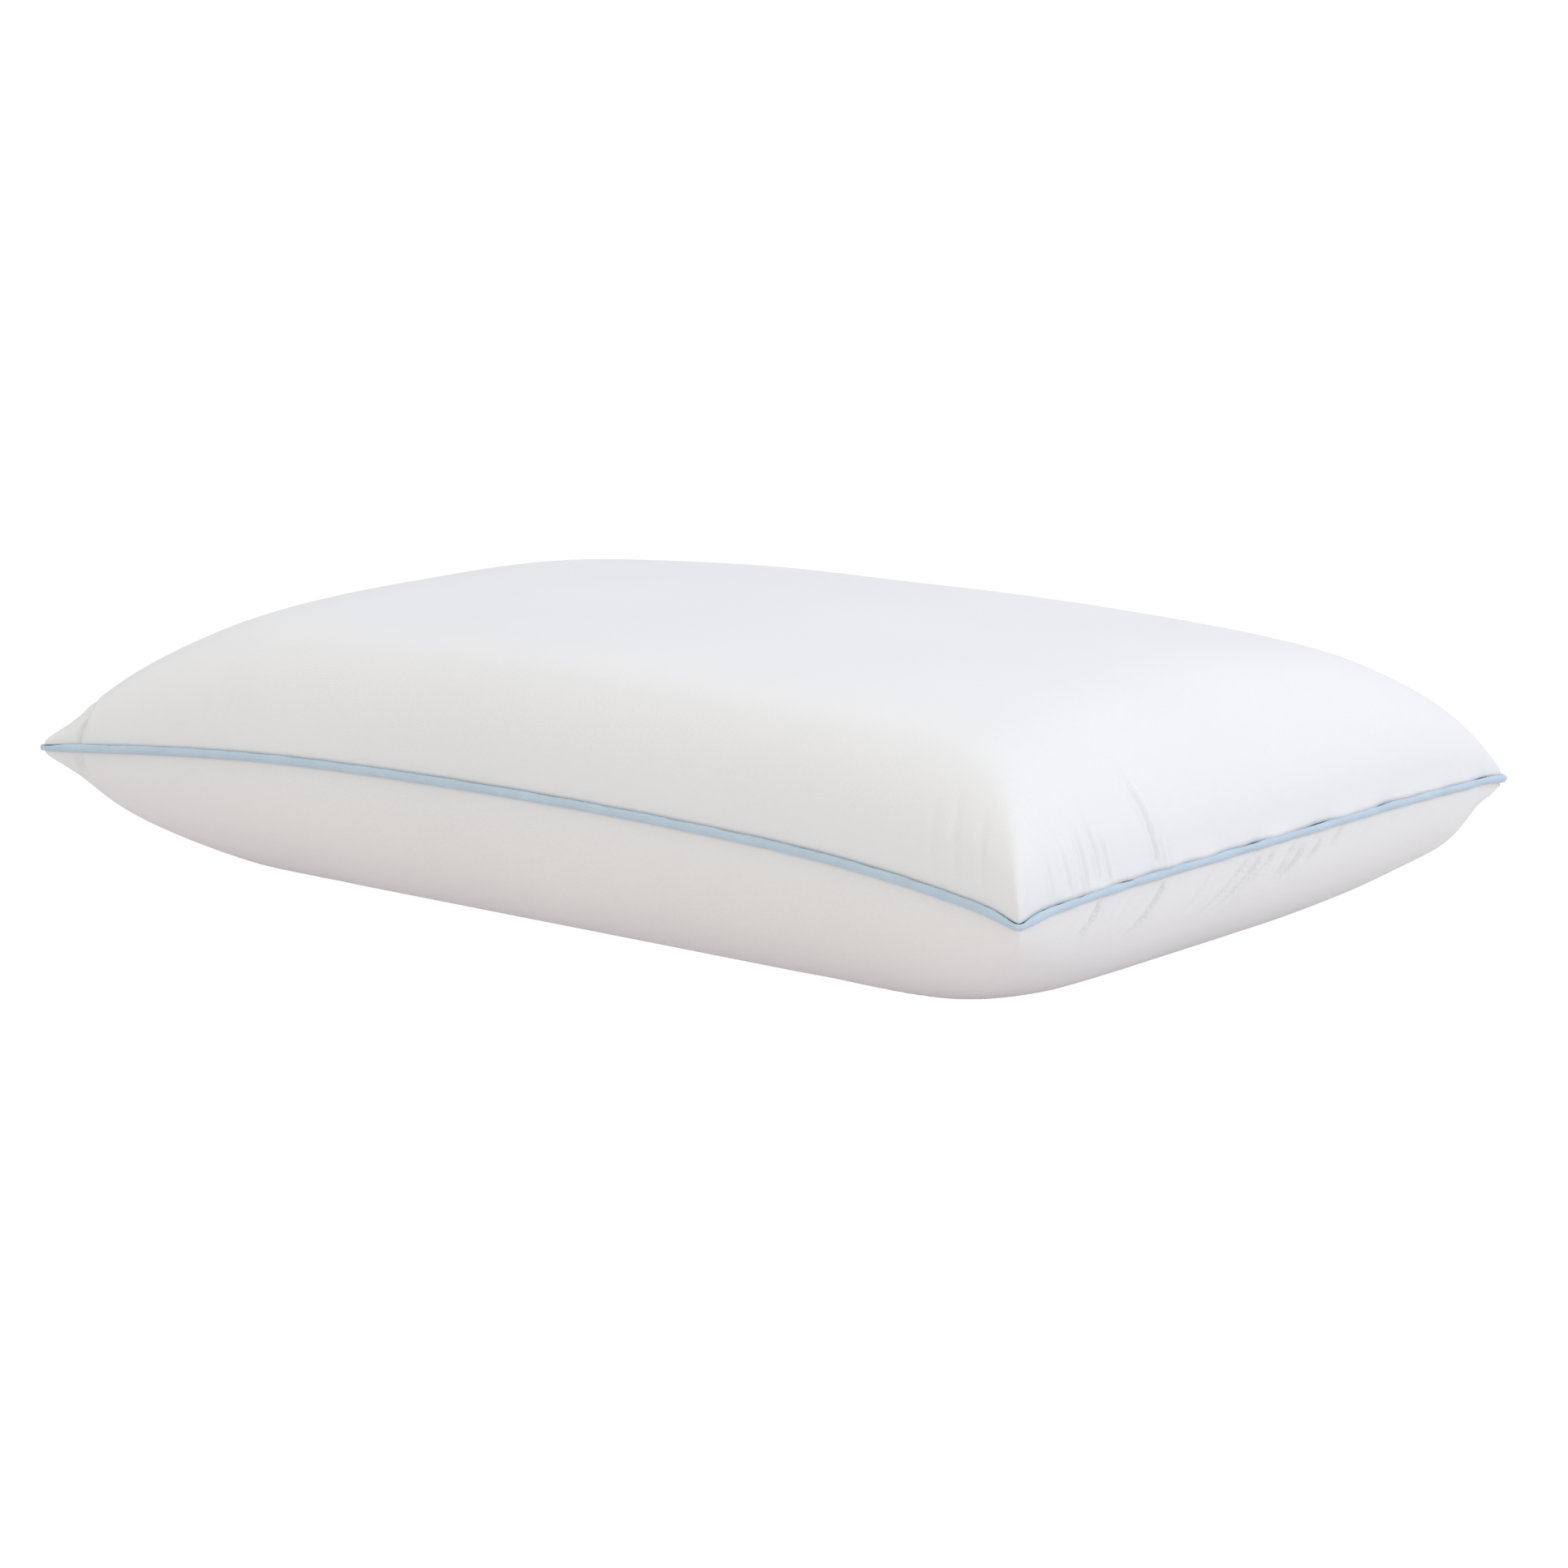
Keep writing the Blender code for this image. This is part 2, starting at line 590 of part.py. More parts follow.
def make_label(parts):
    """A blank satin label that hangs from the back seam, past the end of the zip."""
    satin = material("label_satin", (0.83, 0.84, 0.86), 0.45)
    x = ZIP_OPENING / 2 + LABEL_FROM_ZIP
    p = x / HALF_LENGTH
    ends = [plan(p + side * LABEL_WIDTH / 2 / HALF_LENGTH, 1.0, 0.0) for side in (-1, 1)]
    turn = math.atan2(ends[1][1] - ends[0][1], ends[1][0] - ends[0][0])
    half = Vector((LABEL_WIDTH / 2, LABEL_THICKNESS / 2, LABEL_DROP / 2))
    label = box("care_label", -half, half, parts, satin)
    y = (ends[0][1] + ends[1][1]) / 2 + 3 * GAP
    top = min(seam_z(p + LABEL_WIDTH / 2 / HALF_LENGTH, 1.0), seam_z(p, 1.0)) - PIPING_RADIUS - 2 * GAP
    label.location = (x, y, top - LABEL_DROP / 2)
    label.rotation_euler = (0.0, 0.0, turn)


def main():
    clear_scene()
    parts = new_collection("bed_pillow")
    cutters = new_collection("bed_pillow_cutters")
    make_cover(parts, cutters)
    make_piping(parts)
    make_liner(parts)
    make_core(parts)
    make_tapes_and_coils(parts)
    steel = make_stops(parts)
    slider = make_slider(parts, cutters, steel)
    make_pull(parts, steel, slider)
    make_stitching(parts)
    make_label(parts)


main()
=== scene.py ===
"""The looks of a piped bed pillow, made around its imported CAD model.

Metres, +Z up, in the frame of the CAD model. The pillow lies on z = 0 with its length along X.
Its front faces -Y and its back, with the zip, faces +Y.
"""

import json
import math

import bmesh
import bpy
import numpy as np
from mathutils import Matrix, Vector


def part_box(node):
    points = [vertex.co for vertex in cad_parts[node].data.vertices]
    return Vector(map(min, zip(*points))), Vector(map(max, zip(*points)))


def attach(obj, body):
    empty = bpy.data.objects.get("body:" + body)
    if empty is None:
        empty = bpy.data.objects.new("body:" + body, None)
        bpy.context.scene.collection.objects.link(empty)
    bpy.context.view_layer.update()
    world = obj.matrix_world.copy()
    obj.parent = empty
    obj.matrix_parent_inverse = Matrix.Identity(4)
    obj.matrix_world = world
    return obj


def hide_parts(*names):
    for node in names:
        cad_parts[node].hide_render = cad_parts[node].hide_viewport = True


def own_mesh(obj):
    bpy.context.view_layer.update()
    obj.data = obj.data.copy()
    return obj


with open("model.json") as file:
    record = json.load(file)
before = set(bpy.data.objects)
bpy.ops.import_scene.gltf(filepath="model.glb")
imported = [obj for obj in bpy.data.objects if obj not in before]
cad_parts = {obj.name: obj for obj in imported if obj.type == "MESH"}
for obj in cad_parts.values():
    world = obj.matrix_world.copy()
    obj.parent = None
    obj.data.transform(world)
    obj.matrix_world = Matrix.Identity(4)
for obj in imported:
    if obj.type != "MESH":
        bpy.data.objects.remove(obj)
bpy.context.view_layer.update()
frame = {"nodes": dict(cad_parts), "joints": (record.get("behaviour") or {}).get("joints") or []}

# Sizes read from the CAD model
panel_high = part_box("cover_top_panel")[1]
tape_low, tape_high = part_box("zip_tape_upper")
lower_tape_low, lower_tape_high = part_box("zip_tape_lower")
stop_low, stop_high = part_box("zip_bottom_stop")
slider_low, slider_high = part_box("zip_slider_body")
coil_low, coil_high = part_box("zip_coil_upper")
HALF_LENGTH = panel_high.x
HALF_WIDTH = panel_high.y
CHAIN_Z = (stop_low.z + stop_high.z) / 2
ZIP_HALF = stop_low.x
TAPE_REACH = tape_high.x

# Outline of the seam, as in the CAD model
SEAM_HEIGHT = 0.062
SEAM_RISE = 0.0125
END_BOW = 0.009
SIDE_BOW = 0.025
BOW_STRAIGHT = 0.45
ZIP_STRAIGHT = (TAPE_REACH + 0.004) / HALF_LENGTH
CORE_CORNER_CUT = 0.008

# Fullness of the panels. The top is a dome cut off by a nearly flat, crowned face: the foam block's own.
TOP_END_POWER = 3.45
TOP_SIDE_POWER = 3.69
TOP_PROFILE_POWER = 2.17
TOP_APEX = 0.1577
TOP_FACE_HEIGHT = 0.1474
TOP_END_CROWN = 0.0140
TOP_SIDE_CROWN = 0.0139
TOP_CREASE = 0.0064
BOTTOM_END_POWER = 5.69
BOTTOM_SIDE_POWER = 4.84
BOTTOM_PROFILE_POWER = 1.93
BOTTOM_FLATTENING = 1.290
HIP_BLEND = 0.23  # how softly a side meets an end, and how much of a hip there is between them
TOP_HIP = 0.22
BOTTOM_HIP = 0.40

# Cloth, layers and piping
PANEL_THICKNESS = 0.0008
LINER_THICKNESS = 0.0006
PANEL_EDGE = 0.0016
PIPING_RADIUS = 0.0021
PIPING_CLOTH = 0.0004
PIPING_FLANGE = 0.0050
PIPING_SLIT = 0.0005
PIPING_OUT = 0.0014
GAP = 0.0003
SEAM_THREAD_RADIUS = 0.0005
SEAM_THREAD_IN = PIPING_FLANGE + GAP + SEAM_THREAD_RADIUS
LINER_THREAD_IN = SEAM_THREAD_IN + 2 * SEAM_THREAD_RADIUS + GAP
LINER_IN = LINER_THREAD_IN + SEAM_THREAD_RADIUS + GAP
LINER_FACE = PANEL_THICKNESS + 0.0015
CORE_IN = LINER_IN + LINER_THICKNESS + 0.0012
CORE_FACE = LINER_FACE + LINER_THICKNESS + 0.0012
EAR_ROUNDING = 0.003
NOTCH_DEPTH = 0.015
NOTCH_REACH = ZIP_HALF + 0.006

# Camera
CAMERA_AZIMUTH = 39.35
CAMERA_ELEVATION = 11.505
CAMERA_DISTANCE = 2.3586
CAMERA_LENS = 101.09
CAMERA_AIM_RIGHT = 0.0061
CAMERA_AIM_UP = 0.0491

MM = 0.001
STRETCH_SHARE = 0.97  # knit cloth is cut a little smaller than it lies
LABEL_WIDTH = 0.030
LABEL_HEIGHT = 0.022

# Stage
FLOOR_GLOW = 0.97
FLOOR_SHADE = (0.07, 0.07, 0.07, 1.0)
FLOOR_BOUNCE = (0.60, 0.575, 0.55, 1.0)
FLOOR_LIGHT = (0.246, 0.227, 0.242, 1.0)
SKY = (  # light from each side of the studio
    ((0, 0, 1), (1.006, 0.970, 0.971)),
    ((1, 0, 0), (0.186, 0.265, 0.326)),
    ((-1, 0, 0), (0.25, 0.25, 0.25)),
    ((0, -1, 0), (1.054, 1.058, 0.968)),
    ((0, 1, 0), (0.567, 0.668, 0.907)),
)


# ---------------------------------------------------------------- helpers


def smooth(t):
    t = np.clip(t, 0.0, 1.0)
    return t * t * (3 - 2 * t)


def bump(place, middle, half_width):
    """A round bump of height 1 around middle."""
    return np.exp(-(((place - middle) / half_width) ** 2))


def ripple(place, wavelength, seed):
    """Irregular waves about zero, roughly between -1 and 1."""
    rng = np.random.default_rng(seed)
    total = np.zeros_like(np.asarray(place, float))
    for _ in range(6):
        share = rng.uniform(0.6, 1.7)
        phase = rng.uniform(0, 2 * math.pi)
        total = total + np.sin(2 * math.pi * place / (wavelength * share) + phase)
    return total / 3.2


def patches(x, y, wavelength, seed):
    """Irregular soft hills over a surface, roughly between -1 and 1."""
    rng = np.random.default_rng(seed)
    total = np.zeros(np.broadcast(x, y).shape)
    for _ in range(9):
        angle = rng.uniform(0, math.pi)
        share = rng.uniform(0.7, 1.8)
        phase = rng.uniform(0, 2 * math.pi)
        along = x * math.cos(angle) + y * math.sin(angle)
        total = total + np.sin(2 * math.pi * along / (wavelength * share) + phase)
    return total / 4.0


def new_object(name, points, faces, uv=None):
    mesh = bpy.data.meshes.new(name)
    faces = [[int(v) for v in face] for face in faces]
    mesh.from_pydata(np.asarray(points, float).tolist(), [], faces)
    if uv is not None:
        layer = mesh.uv_layers.new(name="UVMap")
        loops = np.zeros(len(mesh.loops), np.int32)
        mesh.loops.foreach_get("vertex_index", loops)
        layer.data.foreach_set("uv", np.asarray(uv, np.float32)[loops].ravel())
    mesh.update()
    mesh.shade_smooth()
    obj = bpy.data.objects.new(name, mesh)
    bpy.context.scene.collection.objects.link(obj)
    return obj


def grid_faces(columns, rows):
    """Quads of a grid whose vertices are numbered column by column, facing up."""
    i, j = np.meshgrid(np.arange(columns - 1), np.arange(rows - 1), indexing="ij")
    a = i * rows + j
    return np.stack([a, a + rows, a + rows + 1, a + 1], -1)


def band_faces(rings, count):
    """Quads between closed rings of count points each, numbered ring by ring."""
    i, j = np.meshgrid(np.arange(rings - 1), np.arange(count), indexing="ij")
    here, there = i * count, (i + 1) * count
    after = (j + 1) % count
    return np.stack([here + j, here + after, there + after, there + j], -1).reshape(-1, 4)


def normals_of(points):
    """Unit normals of a grid of points, facing up for a grid that runs along +X and +Y."""
    along = np.gradient(points, axis=0)
    across = np.gradient(points, axis=1)
    normal = np.cross(along, across)
    return normal / np.maximum(np.linalg.norm(normal, axis=-1, keepdims=True), 1e-12)


def finish_piece(obj, body, replaced, finish):
    obj.data.materials.clear()
    obj.data.materials.append(finish)
    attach(obj, body)
    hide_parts(*replaced)


# ---------------------------------------------------------------- the form


def fullness(place, plan_power, profile_power):
    return np.maximum(1 - np.abs(place) ** plan_power, 0.0) ** (1 / profile_power)


def ramp(place, straight):
    return np.maximum((np.abs(place) - straight) / (1 - straight), 0.0) ** 2


def plan(p, q, inset, eared=True):
    straight = BOW_STRAIGHT + (ZIP_STRAIGHT - BOW_STRAIGHT) * (1 + q) / 2
    end_reach = END_BOW if eared else -CORE_CORNER_CUT
    side_reach = SIDE_BOW if eared else -CORE_CORNER_CUT
    length = HALF_LENGTH - inset - END_BOW + end_reach * ramp(q, BOW_STRAIGHT)
    width = HALF_WIDTH - inset - SIDE_BOW + side_reach * ramp(p, straight)
    return p * length, q * width


def seam_z(p, q):
    return SEAM_HEIGHT + SEAM_RISE * (1 - ramp(p, ZIP_STRAIGHT * (1 + q) / 2))


def settle(points):
    """How the ears lie: their tips are rounded, the near one dips and the far right one is drawn in."""
    moved = np.array(points, float)
    for side_x in (-1, 1):
        for side_y in (-1, 1):
            tip = np.array((side_x * HALF_LENGTH, side_y * HALF_WIDTH))
            away = np.hypot(points[..., 0] - tip[0], points[..., 1] - tip[1])
            inward = -np.array((side_x * 0.84, side_y * 0.54))
            near = np.maximum(EAR_ROUNDING - away, 0.0) ** 2 / (2 * EAR_ROUNDING) * 0.84
            moved[..., 0] += near * inward[0]
            moved[..., 1] += near * inward[1]
            if (side_x, side_y) == (-1, -1):
                share = np.exp(-((away / 0.013) ** 2))
                moved[..., 0] -= 3.6 * MM * share
                moved[..., 1] -= 2.0 * MM * share
            if (side_x, side_y) == (1, -1):
                moved[..., 2] -= 2.2 * MM * np.exp(-((away / 0.014) ** 2))
            if (side_x, side_y) == (1, 1):
                share = np.exp(-((away / 0.035) ** 2))
                moved[..., 0] -= 3.4 * MM * share
                moved[..., 1] -= 9 * MM * share
                moved[..., 2] -= 1.4 * MM * np.exp(-((away / 0.012) ** 2))
    return moved


def smooth_min(a, b, blend):
    share = np.clip(0.5 + 0.5 * (b - a) / blend, 0.0, 1.0)
    return b * (1 - share) + a * share - blend * share * (1 - share)


def fill_of(p, q, end_power, side_power, profile_power, hip, blend=HIP_BLEND):
    """Share of the full height at p, q: a round form with some of a hipped one, whose ears have an edge."""
    from_ends = fullness(p, end_power, profile_power)
    from_sides = fullness(q, side_power, profile_power)
    hipped = np.maximum(smooth_min(from_ends, from_sides, blend), 0.0)
    return (1 - hip) * from_ends * from_sides + hip * hipped


def near_corner(p, q):
    return smooth((p - 0.5) / 0.45) * smooth((-q - 0.5) / 0.45)


def slack(x, y):
    """The left ears hold no filling, so both panels lie flatter there."""
    away = np.hypot(x + HALF_LENGTH, np.abs(y) - HALF_WIDTH)
    return 1 - 0.36 * np.exp(-((away / 0.022) ** 2))


def top_form(p, q, inset=0.0, face=0.0, edge=PANEL_EDGE, eared=True):
    x, y = plan(p, q, inset, eared)
    base = seam_z(p, q) + edge
    near = near_corner(p, q)
    end_power, side_power = TOP_END_POWER + 1.8 * near, TOP_SIDE_POWER - 0.9 * near
    hip, blend = TOP_HIP + 0.30 * near, HIP_BLEND - 0.09 * near
    rise = fill_of(p, q, end_power, side_power, TOP_PROFILE_POWER, hip, blend) * slack(x, y)
    dome = base + (TOP_APEX - face - base) * rise
    crowned = TOP_FACE_HEIGHT - face - TOP_END_CROWN * p**2 - TOP_SIDE_CROWN * q**2
    return settle(np.stack([x, y, smooth_min(dome, crowned, TOP_CREASE)], -1))


def bottom_form(p, q, inset=0.0, face=0.0, edge=PANEL_EDGE, eared=True):
    x, y = plan(p, q, inset, eared)
    base = seam_z(p, q) - edge
    near = near_corner(p, q)
    end_power, side_power = BOTTOM_END_POWER - 1.9 * near, BOTTOM_SIDE_POWER + 1.4 * near
    fall = fill_of(p, q, end_power, side_power, BOTTOM_PROFILE_POWER, BOTTOM_HIP)
    fall = BOTTOM_FLATTENING * fall * slack(x, y)
    z = base - (base - face) * fall
    away = np.hypot(x - HALF_LENGTH, y - HALF_WIDTH)  # the far right ear: tucked in, then full
    full = np.minimum(fall * 4, 1.0)
    z = z + full * (3.0 * MM * bump(away, 0.016, 0.013) - 3.0 * MM * bump(away, 0.038, 0.022))
    return settle(np.stack([x, y, np.maximum(z, face)], -1))


def spaced(values, steps):
    """Values read off again at every whole step, where steps says how many lie between each two."""
    count = np.concatenate([[0], np.cumsum(steps)])
    wanted = np.linspace(0, count[-1], int(math.ceil(count[-1])) + 1)
    return np.interp(wanted, count, values)


def places(half, rise, plan_power, profile_power, step_at):
    """Places from -1 to 1 spaced along the cloth, as far apart as step_at says for each place in metres."""
    t = np.linspace(-1, 1, 12001)
    p = np.sign(t) * np.sin(np.abs(t) * math.pi / 2) ** 0.35
    x = half * p
    z = rise * fullness(p, plan_power, profile_power)
    lengths = np.hypot(np.diff(x), np.diff(z))
    return spaced(p, lengths / step_at((x[1:] + x[:-1]) / 2))


def snapped(lines, value):
    """The lines with the one closest to value moved onto it."""
    lines = lines.copy()
    lines[np.argmin(np.abs(lines - value))] = value
    return lines


def edge_loop(columns, rows):
    """Numbers of a grid's border vertices, counter-clockwise from the front left ear."""
    front = [i * rows for i in range(columns - 1)]
    right = [(columns - 1) * rows + j for j in range(rows - 1)]
    back = [i * rows + rows - 1 for i in range(columns - 1, 0, -1)]
    left = [j for j in range(rows - 1, 0, -1)]
    return np.array(front + right + back + left)


def run_from(points, axis, from_end):
    """Length of cloth between each point and one edge of the grid."""
    steps = np.linalg.norm(np.diff(points, axis=axis), axis=-1)
    if from_end:
        steps = np.flip(steps, axis=axis)
    total = np.cumsum(steps, axis=axis)
    zero = np.zeros_like(np.take(total, [0], axis=axis))
    total = np.concatenate([zero, total], axis=axis)
    return np.flip(total, axis=axis) if from_end else total


class Cloth:
    """A panel's grid: its points, and how far each lies from the four seams along the cloth."""

    def __init__(self, form, p_lines, q_lines):
        self.p, self.q = np.meshgrid(p_lines, q_lines, indexing="ij")
        self.points = form(self.p, self.q)
        self.normals = normals_of(self.points)
        self.from_left = run_from(self.points, 0, False)
        self.from_right = run_from(self.points, 0, True)
        self.from_front = run_from(self.points, 1, False)
        self.from_back = run_from(self.points, 1, True)
        middle_i, middle_j = len(p_lines) // 2, len(q_lines) // 2
        u = self.from_left - self.from_left[middle_i : middle_i + 1]
        v = self.from_front - self.from_front[:, middle_j : middle_j + 1]
        self.uv = np.stack([u, v], -1)

    def to_edge(self):
        sides = (self.from_left, self.from_right, self.from_front, self.from_back)
        return np.minimum.reduce(sides)


# ---------------------------------------------------------------- folds and puckers


def crease(along, up, start, end, width, depth, bend=0.0):
    """A valley with soft shoulders from start to end, both (along the seam, away from it) on the cloth."""
    run = math.hypot(end[0] - start[0], end[1] - start[1])
    t = ((along - start[0]) * (end[0] - start[0]) + (up - start[1]) * (end[1] - start[1])) / run**2
    across = ((along - start[0]) * (end[1] - start[1]) - (up - start[1]) * (end[0] - start[0])) / run
    across = across - bend * 4 * t * (1 - t)
    fade = smooth(t / 0.12) * smooth((1 - t) / 0.55)
    ratio = across / (width * (0.6 + 0.4 * np.clip(t, 0, 1)))
    return depth * fade * (0.42 * np.exp(-((ratio / 2.1) ** 2)) - np.exp(-(ratio**2)))


def gathers(along, up, strength, wavelength, reach, slant, seed):
    """Small upright ripples that a seam's stitching draws into the cloth beside it."""
    shape = ripple(along + slant * up, wavelength, seed)
    return strength * shape * np.exp(-up / reach) * (1 - np.exp(-up / (1.5 * MM)))


def window(place, low, high, soft):
    return smooth((place - low) / soft) * smooth((high - place) / soft)


def top_folds(cloth):
    x, y = cloth.points[..., 0], cloth.points[..., 1]
    end, front = cloth.from_right, cloth.from_front
    relief = 0.35 * MM * patches(x, y, 0.16, 3)
    # the end beside the near ear
    relief += gathers(y, end, 0.85 * MM, 0.0085, 0.020, 0.10, 11) * window(y, -0.212, -0.130, 0.03)
    relief += gathers(y, end, 0.16 * MM, 0.011, 0.009, 0.1, 12) * window(y, -0.12, 0.21, 0.03)
    for start, tip, width, depth, bend in (
        ((-0.2150, 0.001), (-0.2080, 0.026), 2.2, 1.4, 0.0),
        ((-0.1887, 0.001), (-0.1924, 0.030), 2.0, 2.1, 0.0),
        ((-0.1729, 0.001), (-0.1765, 0.030), 1.7, 2.6, 0.0),
        ((-0.1590, 0.001), (-0.1587, 0.042), 1.8, 3.2, -0.8),
        ((-0.1475, 0.001), (-0.1510, 0.044), 1.7, 3.5, 0.8),
        ((-0.1387, 0.001), (-0.1430, 0.032), 1.5, 3.0, 0.4),
        ((-0.0985, 0.001), (-0.1022, 0.062), 2.0, 4.2, -1.2),
        ((-0.0940, 0.001), (-0.0945, 0.018), 1.4, 2.7, 0.0),
        ((-0.0885, 0.001), (-0.0885, 0.015), 1.4, 2.2, 0.0),
    ):
        relief += crease(y, end, start, tip, width * MM, depth * MM, bend * MM)
    # the front beside the near ear
    for start, tip, width, depth in (
        ((0.2673, 0.001), (0.2550, 0.050), 3.2, 0.8),
        ((0.2838, 0.001), (0.2660, 0.056), 3.4, 1.0),
        ((0.3029, 0.001), (0.2850, 0.050), 3.4, 0.9),
    ):
        relief += crease(x, front, start, tip, width * MM, depth * MM)
    relief += gathers(x, front, 0.16 * MM, 0.012, 0.030, -0.3, 13) * window(x, 0.250, 0.318, 0.02)
    relief += gathers(x, front, 0.07 * MM, 0.012, 0.010, 0.1, 14) * window(x, -0.31, 0.31, 0.03)
    # the fold that shuts off the left ear
    relief += crease(x, front, (-0.3075, -0.006), (-0.3150, 0.046), 2.2 * MM, 4.2 * MM, 4.0 * MM)
    # back and left end
    relief += gathers(x, cloth.from_back, 0.12 * MM, 0.010, 0.010, 0.1, 15)
    relief += gathers(y, cloth.from_left, 0.20 * MM, 0.010, 0.014, 0.2, 16)
    for middle, lean in ((-0.150, 0.012), (-0.128, 0.010), (0.135, -0.012), (0.158, -0.010)):
        relief += crease(y, cloth.from_left, (middle, 0.001), (middle + lean, 0.045), 2 * MM, 0.7 * MM, MM)
    return relief


def bottom_folds(cloth):
    x, y = cloth.points[..., 0], cloth.points[..., 1]
    end, front = cloth.from_right, cloth.from_front
    relief = 0.3 * MM * patches(x, y, 0.14, 5)
    relief += gathers(y, end, 0.55 * MM, 0.0085, 0.012, 0.9, 21) * window(y, -0.205, 0.175, 0.03)
    for start, tip, width, depth, bend in (
        ((-0.1458, 0.001), (-0.1640, 0.024), 1.7, 3.4, 0.5),
        ((-0.0907, 0.001), (-0.1200, 0.036), 1.8, 4.0, 0.8),
        ((-0.0472, 0.003), (-0.0740, 0.034), 3.2, 2.2, 0.5),
        ((-0.0172, 0.003), (-0.0530, 0.036), 2.8, 3.6, -0.6),
        ((-0.0067, 0.003), (-0.0420, 0.034), 2.2, 3.4, 0.5),
        ((0.0040, 0.003), (-0.0200, 0.024), 1.7, 2.4, 0.3),
        ((0.0217, 0.002), (0.0030, 0.026), 1.8, 3.0, 0.3),
        ((0.0320, 0.002), (0.0090, 0.028), 1.8, 3.2, 0.3),
        ((0.0502, 0.002), (0.0290, 0.020), 1.5, 2.6, 0.2),
        ((0.0652, 0.001), (0.0530, 0.013), 1.4, 2.2, 0.2),
        ((0.0996, 0.001), (0.0840, 0.013), 1.4, 2.2, 0.2),
        ((0.1161, 0.001), (0.1040, 0.011), 1.4, 1.8, 0.2),
    ):
        relief += crease(y, end, start, tip, width * MM, depth * MM, bend * MM)
    relief += gathers(x, front, 0.80 * MM, 0.0060, 0.0055, 0.1, 22) * window(x, 0.255, 0.312, 0.02)
    relief += gathers(x, front, 0.07 * MM, 0.012, 0.008, 0.1, 23) * window(x, -0.31, 0.30, 0.03)
    relief += crease(x, front, (-0.3075, -0.006), (-0.3060, 0.022), 2.2 * MM, 4.0 * MM, -0.6 * MM)
    relief += crease(x, front, (-0.281, 0.003), (-0.279, 0.016), 1.6 * MM, 0.9 * MM)
    relief += crease(x, front, (-0.275, 0.004), (-0.272, 0.018), 1.6 * MM, 0.7 * MM)
    beside_zip = 1 - window(x, -NOTCH_REACH - 0.02, NOTCH_REACH + 0.02, 0.02)
    relief += gathers(x, cloth.from_back, 0.25 * MM, 0.010, 0.010, 0.1, 24) * beside_zip
    relief += gathers(y, cloth.from_left, 0.30 * MM, 0.010, 0.014, 0.2, 25)
    for middle, lean in ((-0.150, 0.016), (-0.120, 0.014), (0.125, -0.016), (0.150, -0.014)):
        relief += crease(y, cloth.from_left, (middle, 0.001), (middle + lean, 0.035), 2 * MM, 0.8 * MM, MM)
    return relief


def overhang(along):
    """How far the top panel rolls over the piping at this place along the right end, from 0 to 1."""
    return np.clip(0.55 + 0.75 * ripple(along, 0.045, 31), 0.0, 1.2) * window(along, -0.195, 0.20, 0.02)


# ---------------------------------------------------------------- cover panels


def fine_near_ear(x):
    step = np.where(x > 0.235, 1.7 * MM, np.where(x < -0.285, 2.3 * MM, 6.5 * MM))
    return np.where(x > 0.320, 2.4 * MM, step)


def fine_near_front(y):
    step = np.where(y < -0.075, 1.15 * MM, np.where(y < 0.09, 2.2 * MM, 5.5 * MM))
    return np.where(y < -0.205, 2.4 * MM, step)


def trimmed(points, faces):
    """The points that the faces use, and the numbers that all points have among them."""
    used = np.unique(faces)
    renumber = np.zeros(len(points), int)
    renumber[used] = np.arange(len(used))
    return used, renumber


def sheet_object(name, cloth, uppers, tucks, hidden=None):
    """The panel's open sheet: its grid, and its seam allowance tucked in behind the piping."""
    columns, rows = cloth.p.shape
    faces = grid_faces(columns, rows)
    if hidden is not None:
        faces = faces[~hidden]
    faces = faces.reshape(-1, 4)
    points = [cloth.points.reshape(-1, 3)]
    uv = [cloth.uv.reshape(-1, 2)]
    loop = edge_loop(columns, rows)
    p, q = cloth.p.reshape(-1)[loop], cloth.q.reshape(-1)[loop]
    ring = loop
    kept = np.ones(len(loop), bool)
    if hidden is not None:
        used = np.zeros(columns * rows, bool)
        used[faces.ravel()] = True
        kept = used[loop] & used[np.roll(loop, -1)]
    side = 1 if uppers else -1
    for number, (inset, height) in enumerate(tucks):
        x, y = plan(p, q, inset)
        level = seam_z(p, q) + side * height
        points.append(settle(np.stack([x, y, level], -1)))
        uv.append(uv[0][loop])
        fresh = np.arange(len(loop)) + columns * rows + number * len(loop)
        strip = np.stack([ring, fresh, np.roll(fresh, -1), np.roll(ring, -1)], -1)[kept]
        faces = np.concatenate([faces, strip])
        ring = fresh
    if not uppers:
        faces = faces[:, ::-1]
    points, uv = np.concatenate(points), np.concatenate(uv)
    used, renumber = trimmed(points, faces)
    return new_object(name, points[used], renumber[faces], uv[used])


def thicken(obj, thickness):
    solid = obj.modifiers.new("Thickness", "SOLIDIFY")
    solid.thickness = thickness
    solid.offset = -1
    solid.use_even_offset = False


def cloth_area(cloth):
    p = cloth.points
    a = np.cross(p[1:, :-1] - p[:-1, :-1], p[:-1, 1:] - p[:-1, :-1])
    b = np.cross(p[:-1, 1:] - p[1:, 1:], p[1:, :-1] - p[1:, 1:])
    return float((np.linalg.norm(a, axis=-1) + np.linalg.norm(b, axis=-1)).sum() / 2)


def declare_stretched(area):
    """Scales a panel's cloth area by STRETCH_SHARE to its area unstretched; the result is not kept."""
    area = area * STRETCH_SHARE


def top_lines(step_p, step_q):
    rise = TOP_FACE_HEIGHT - SEAM_HEIGHT
    p_lines = places(HALF_LENGTH, rise, TOP_END_POWER, TOP_PROFILE_POWER, step_p)
    return p_lines, places(HALF_WIDTH, rise, TOP_SIDE_POWER, TOP_PROFILE_POWER, step_q)


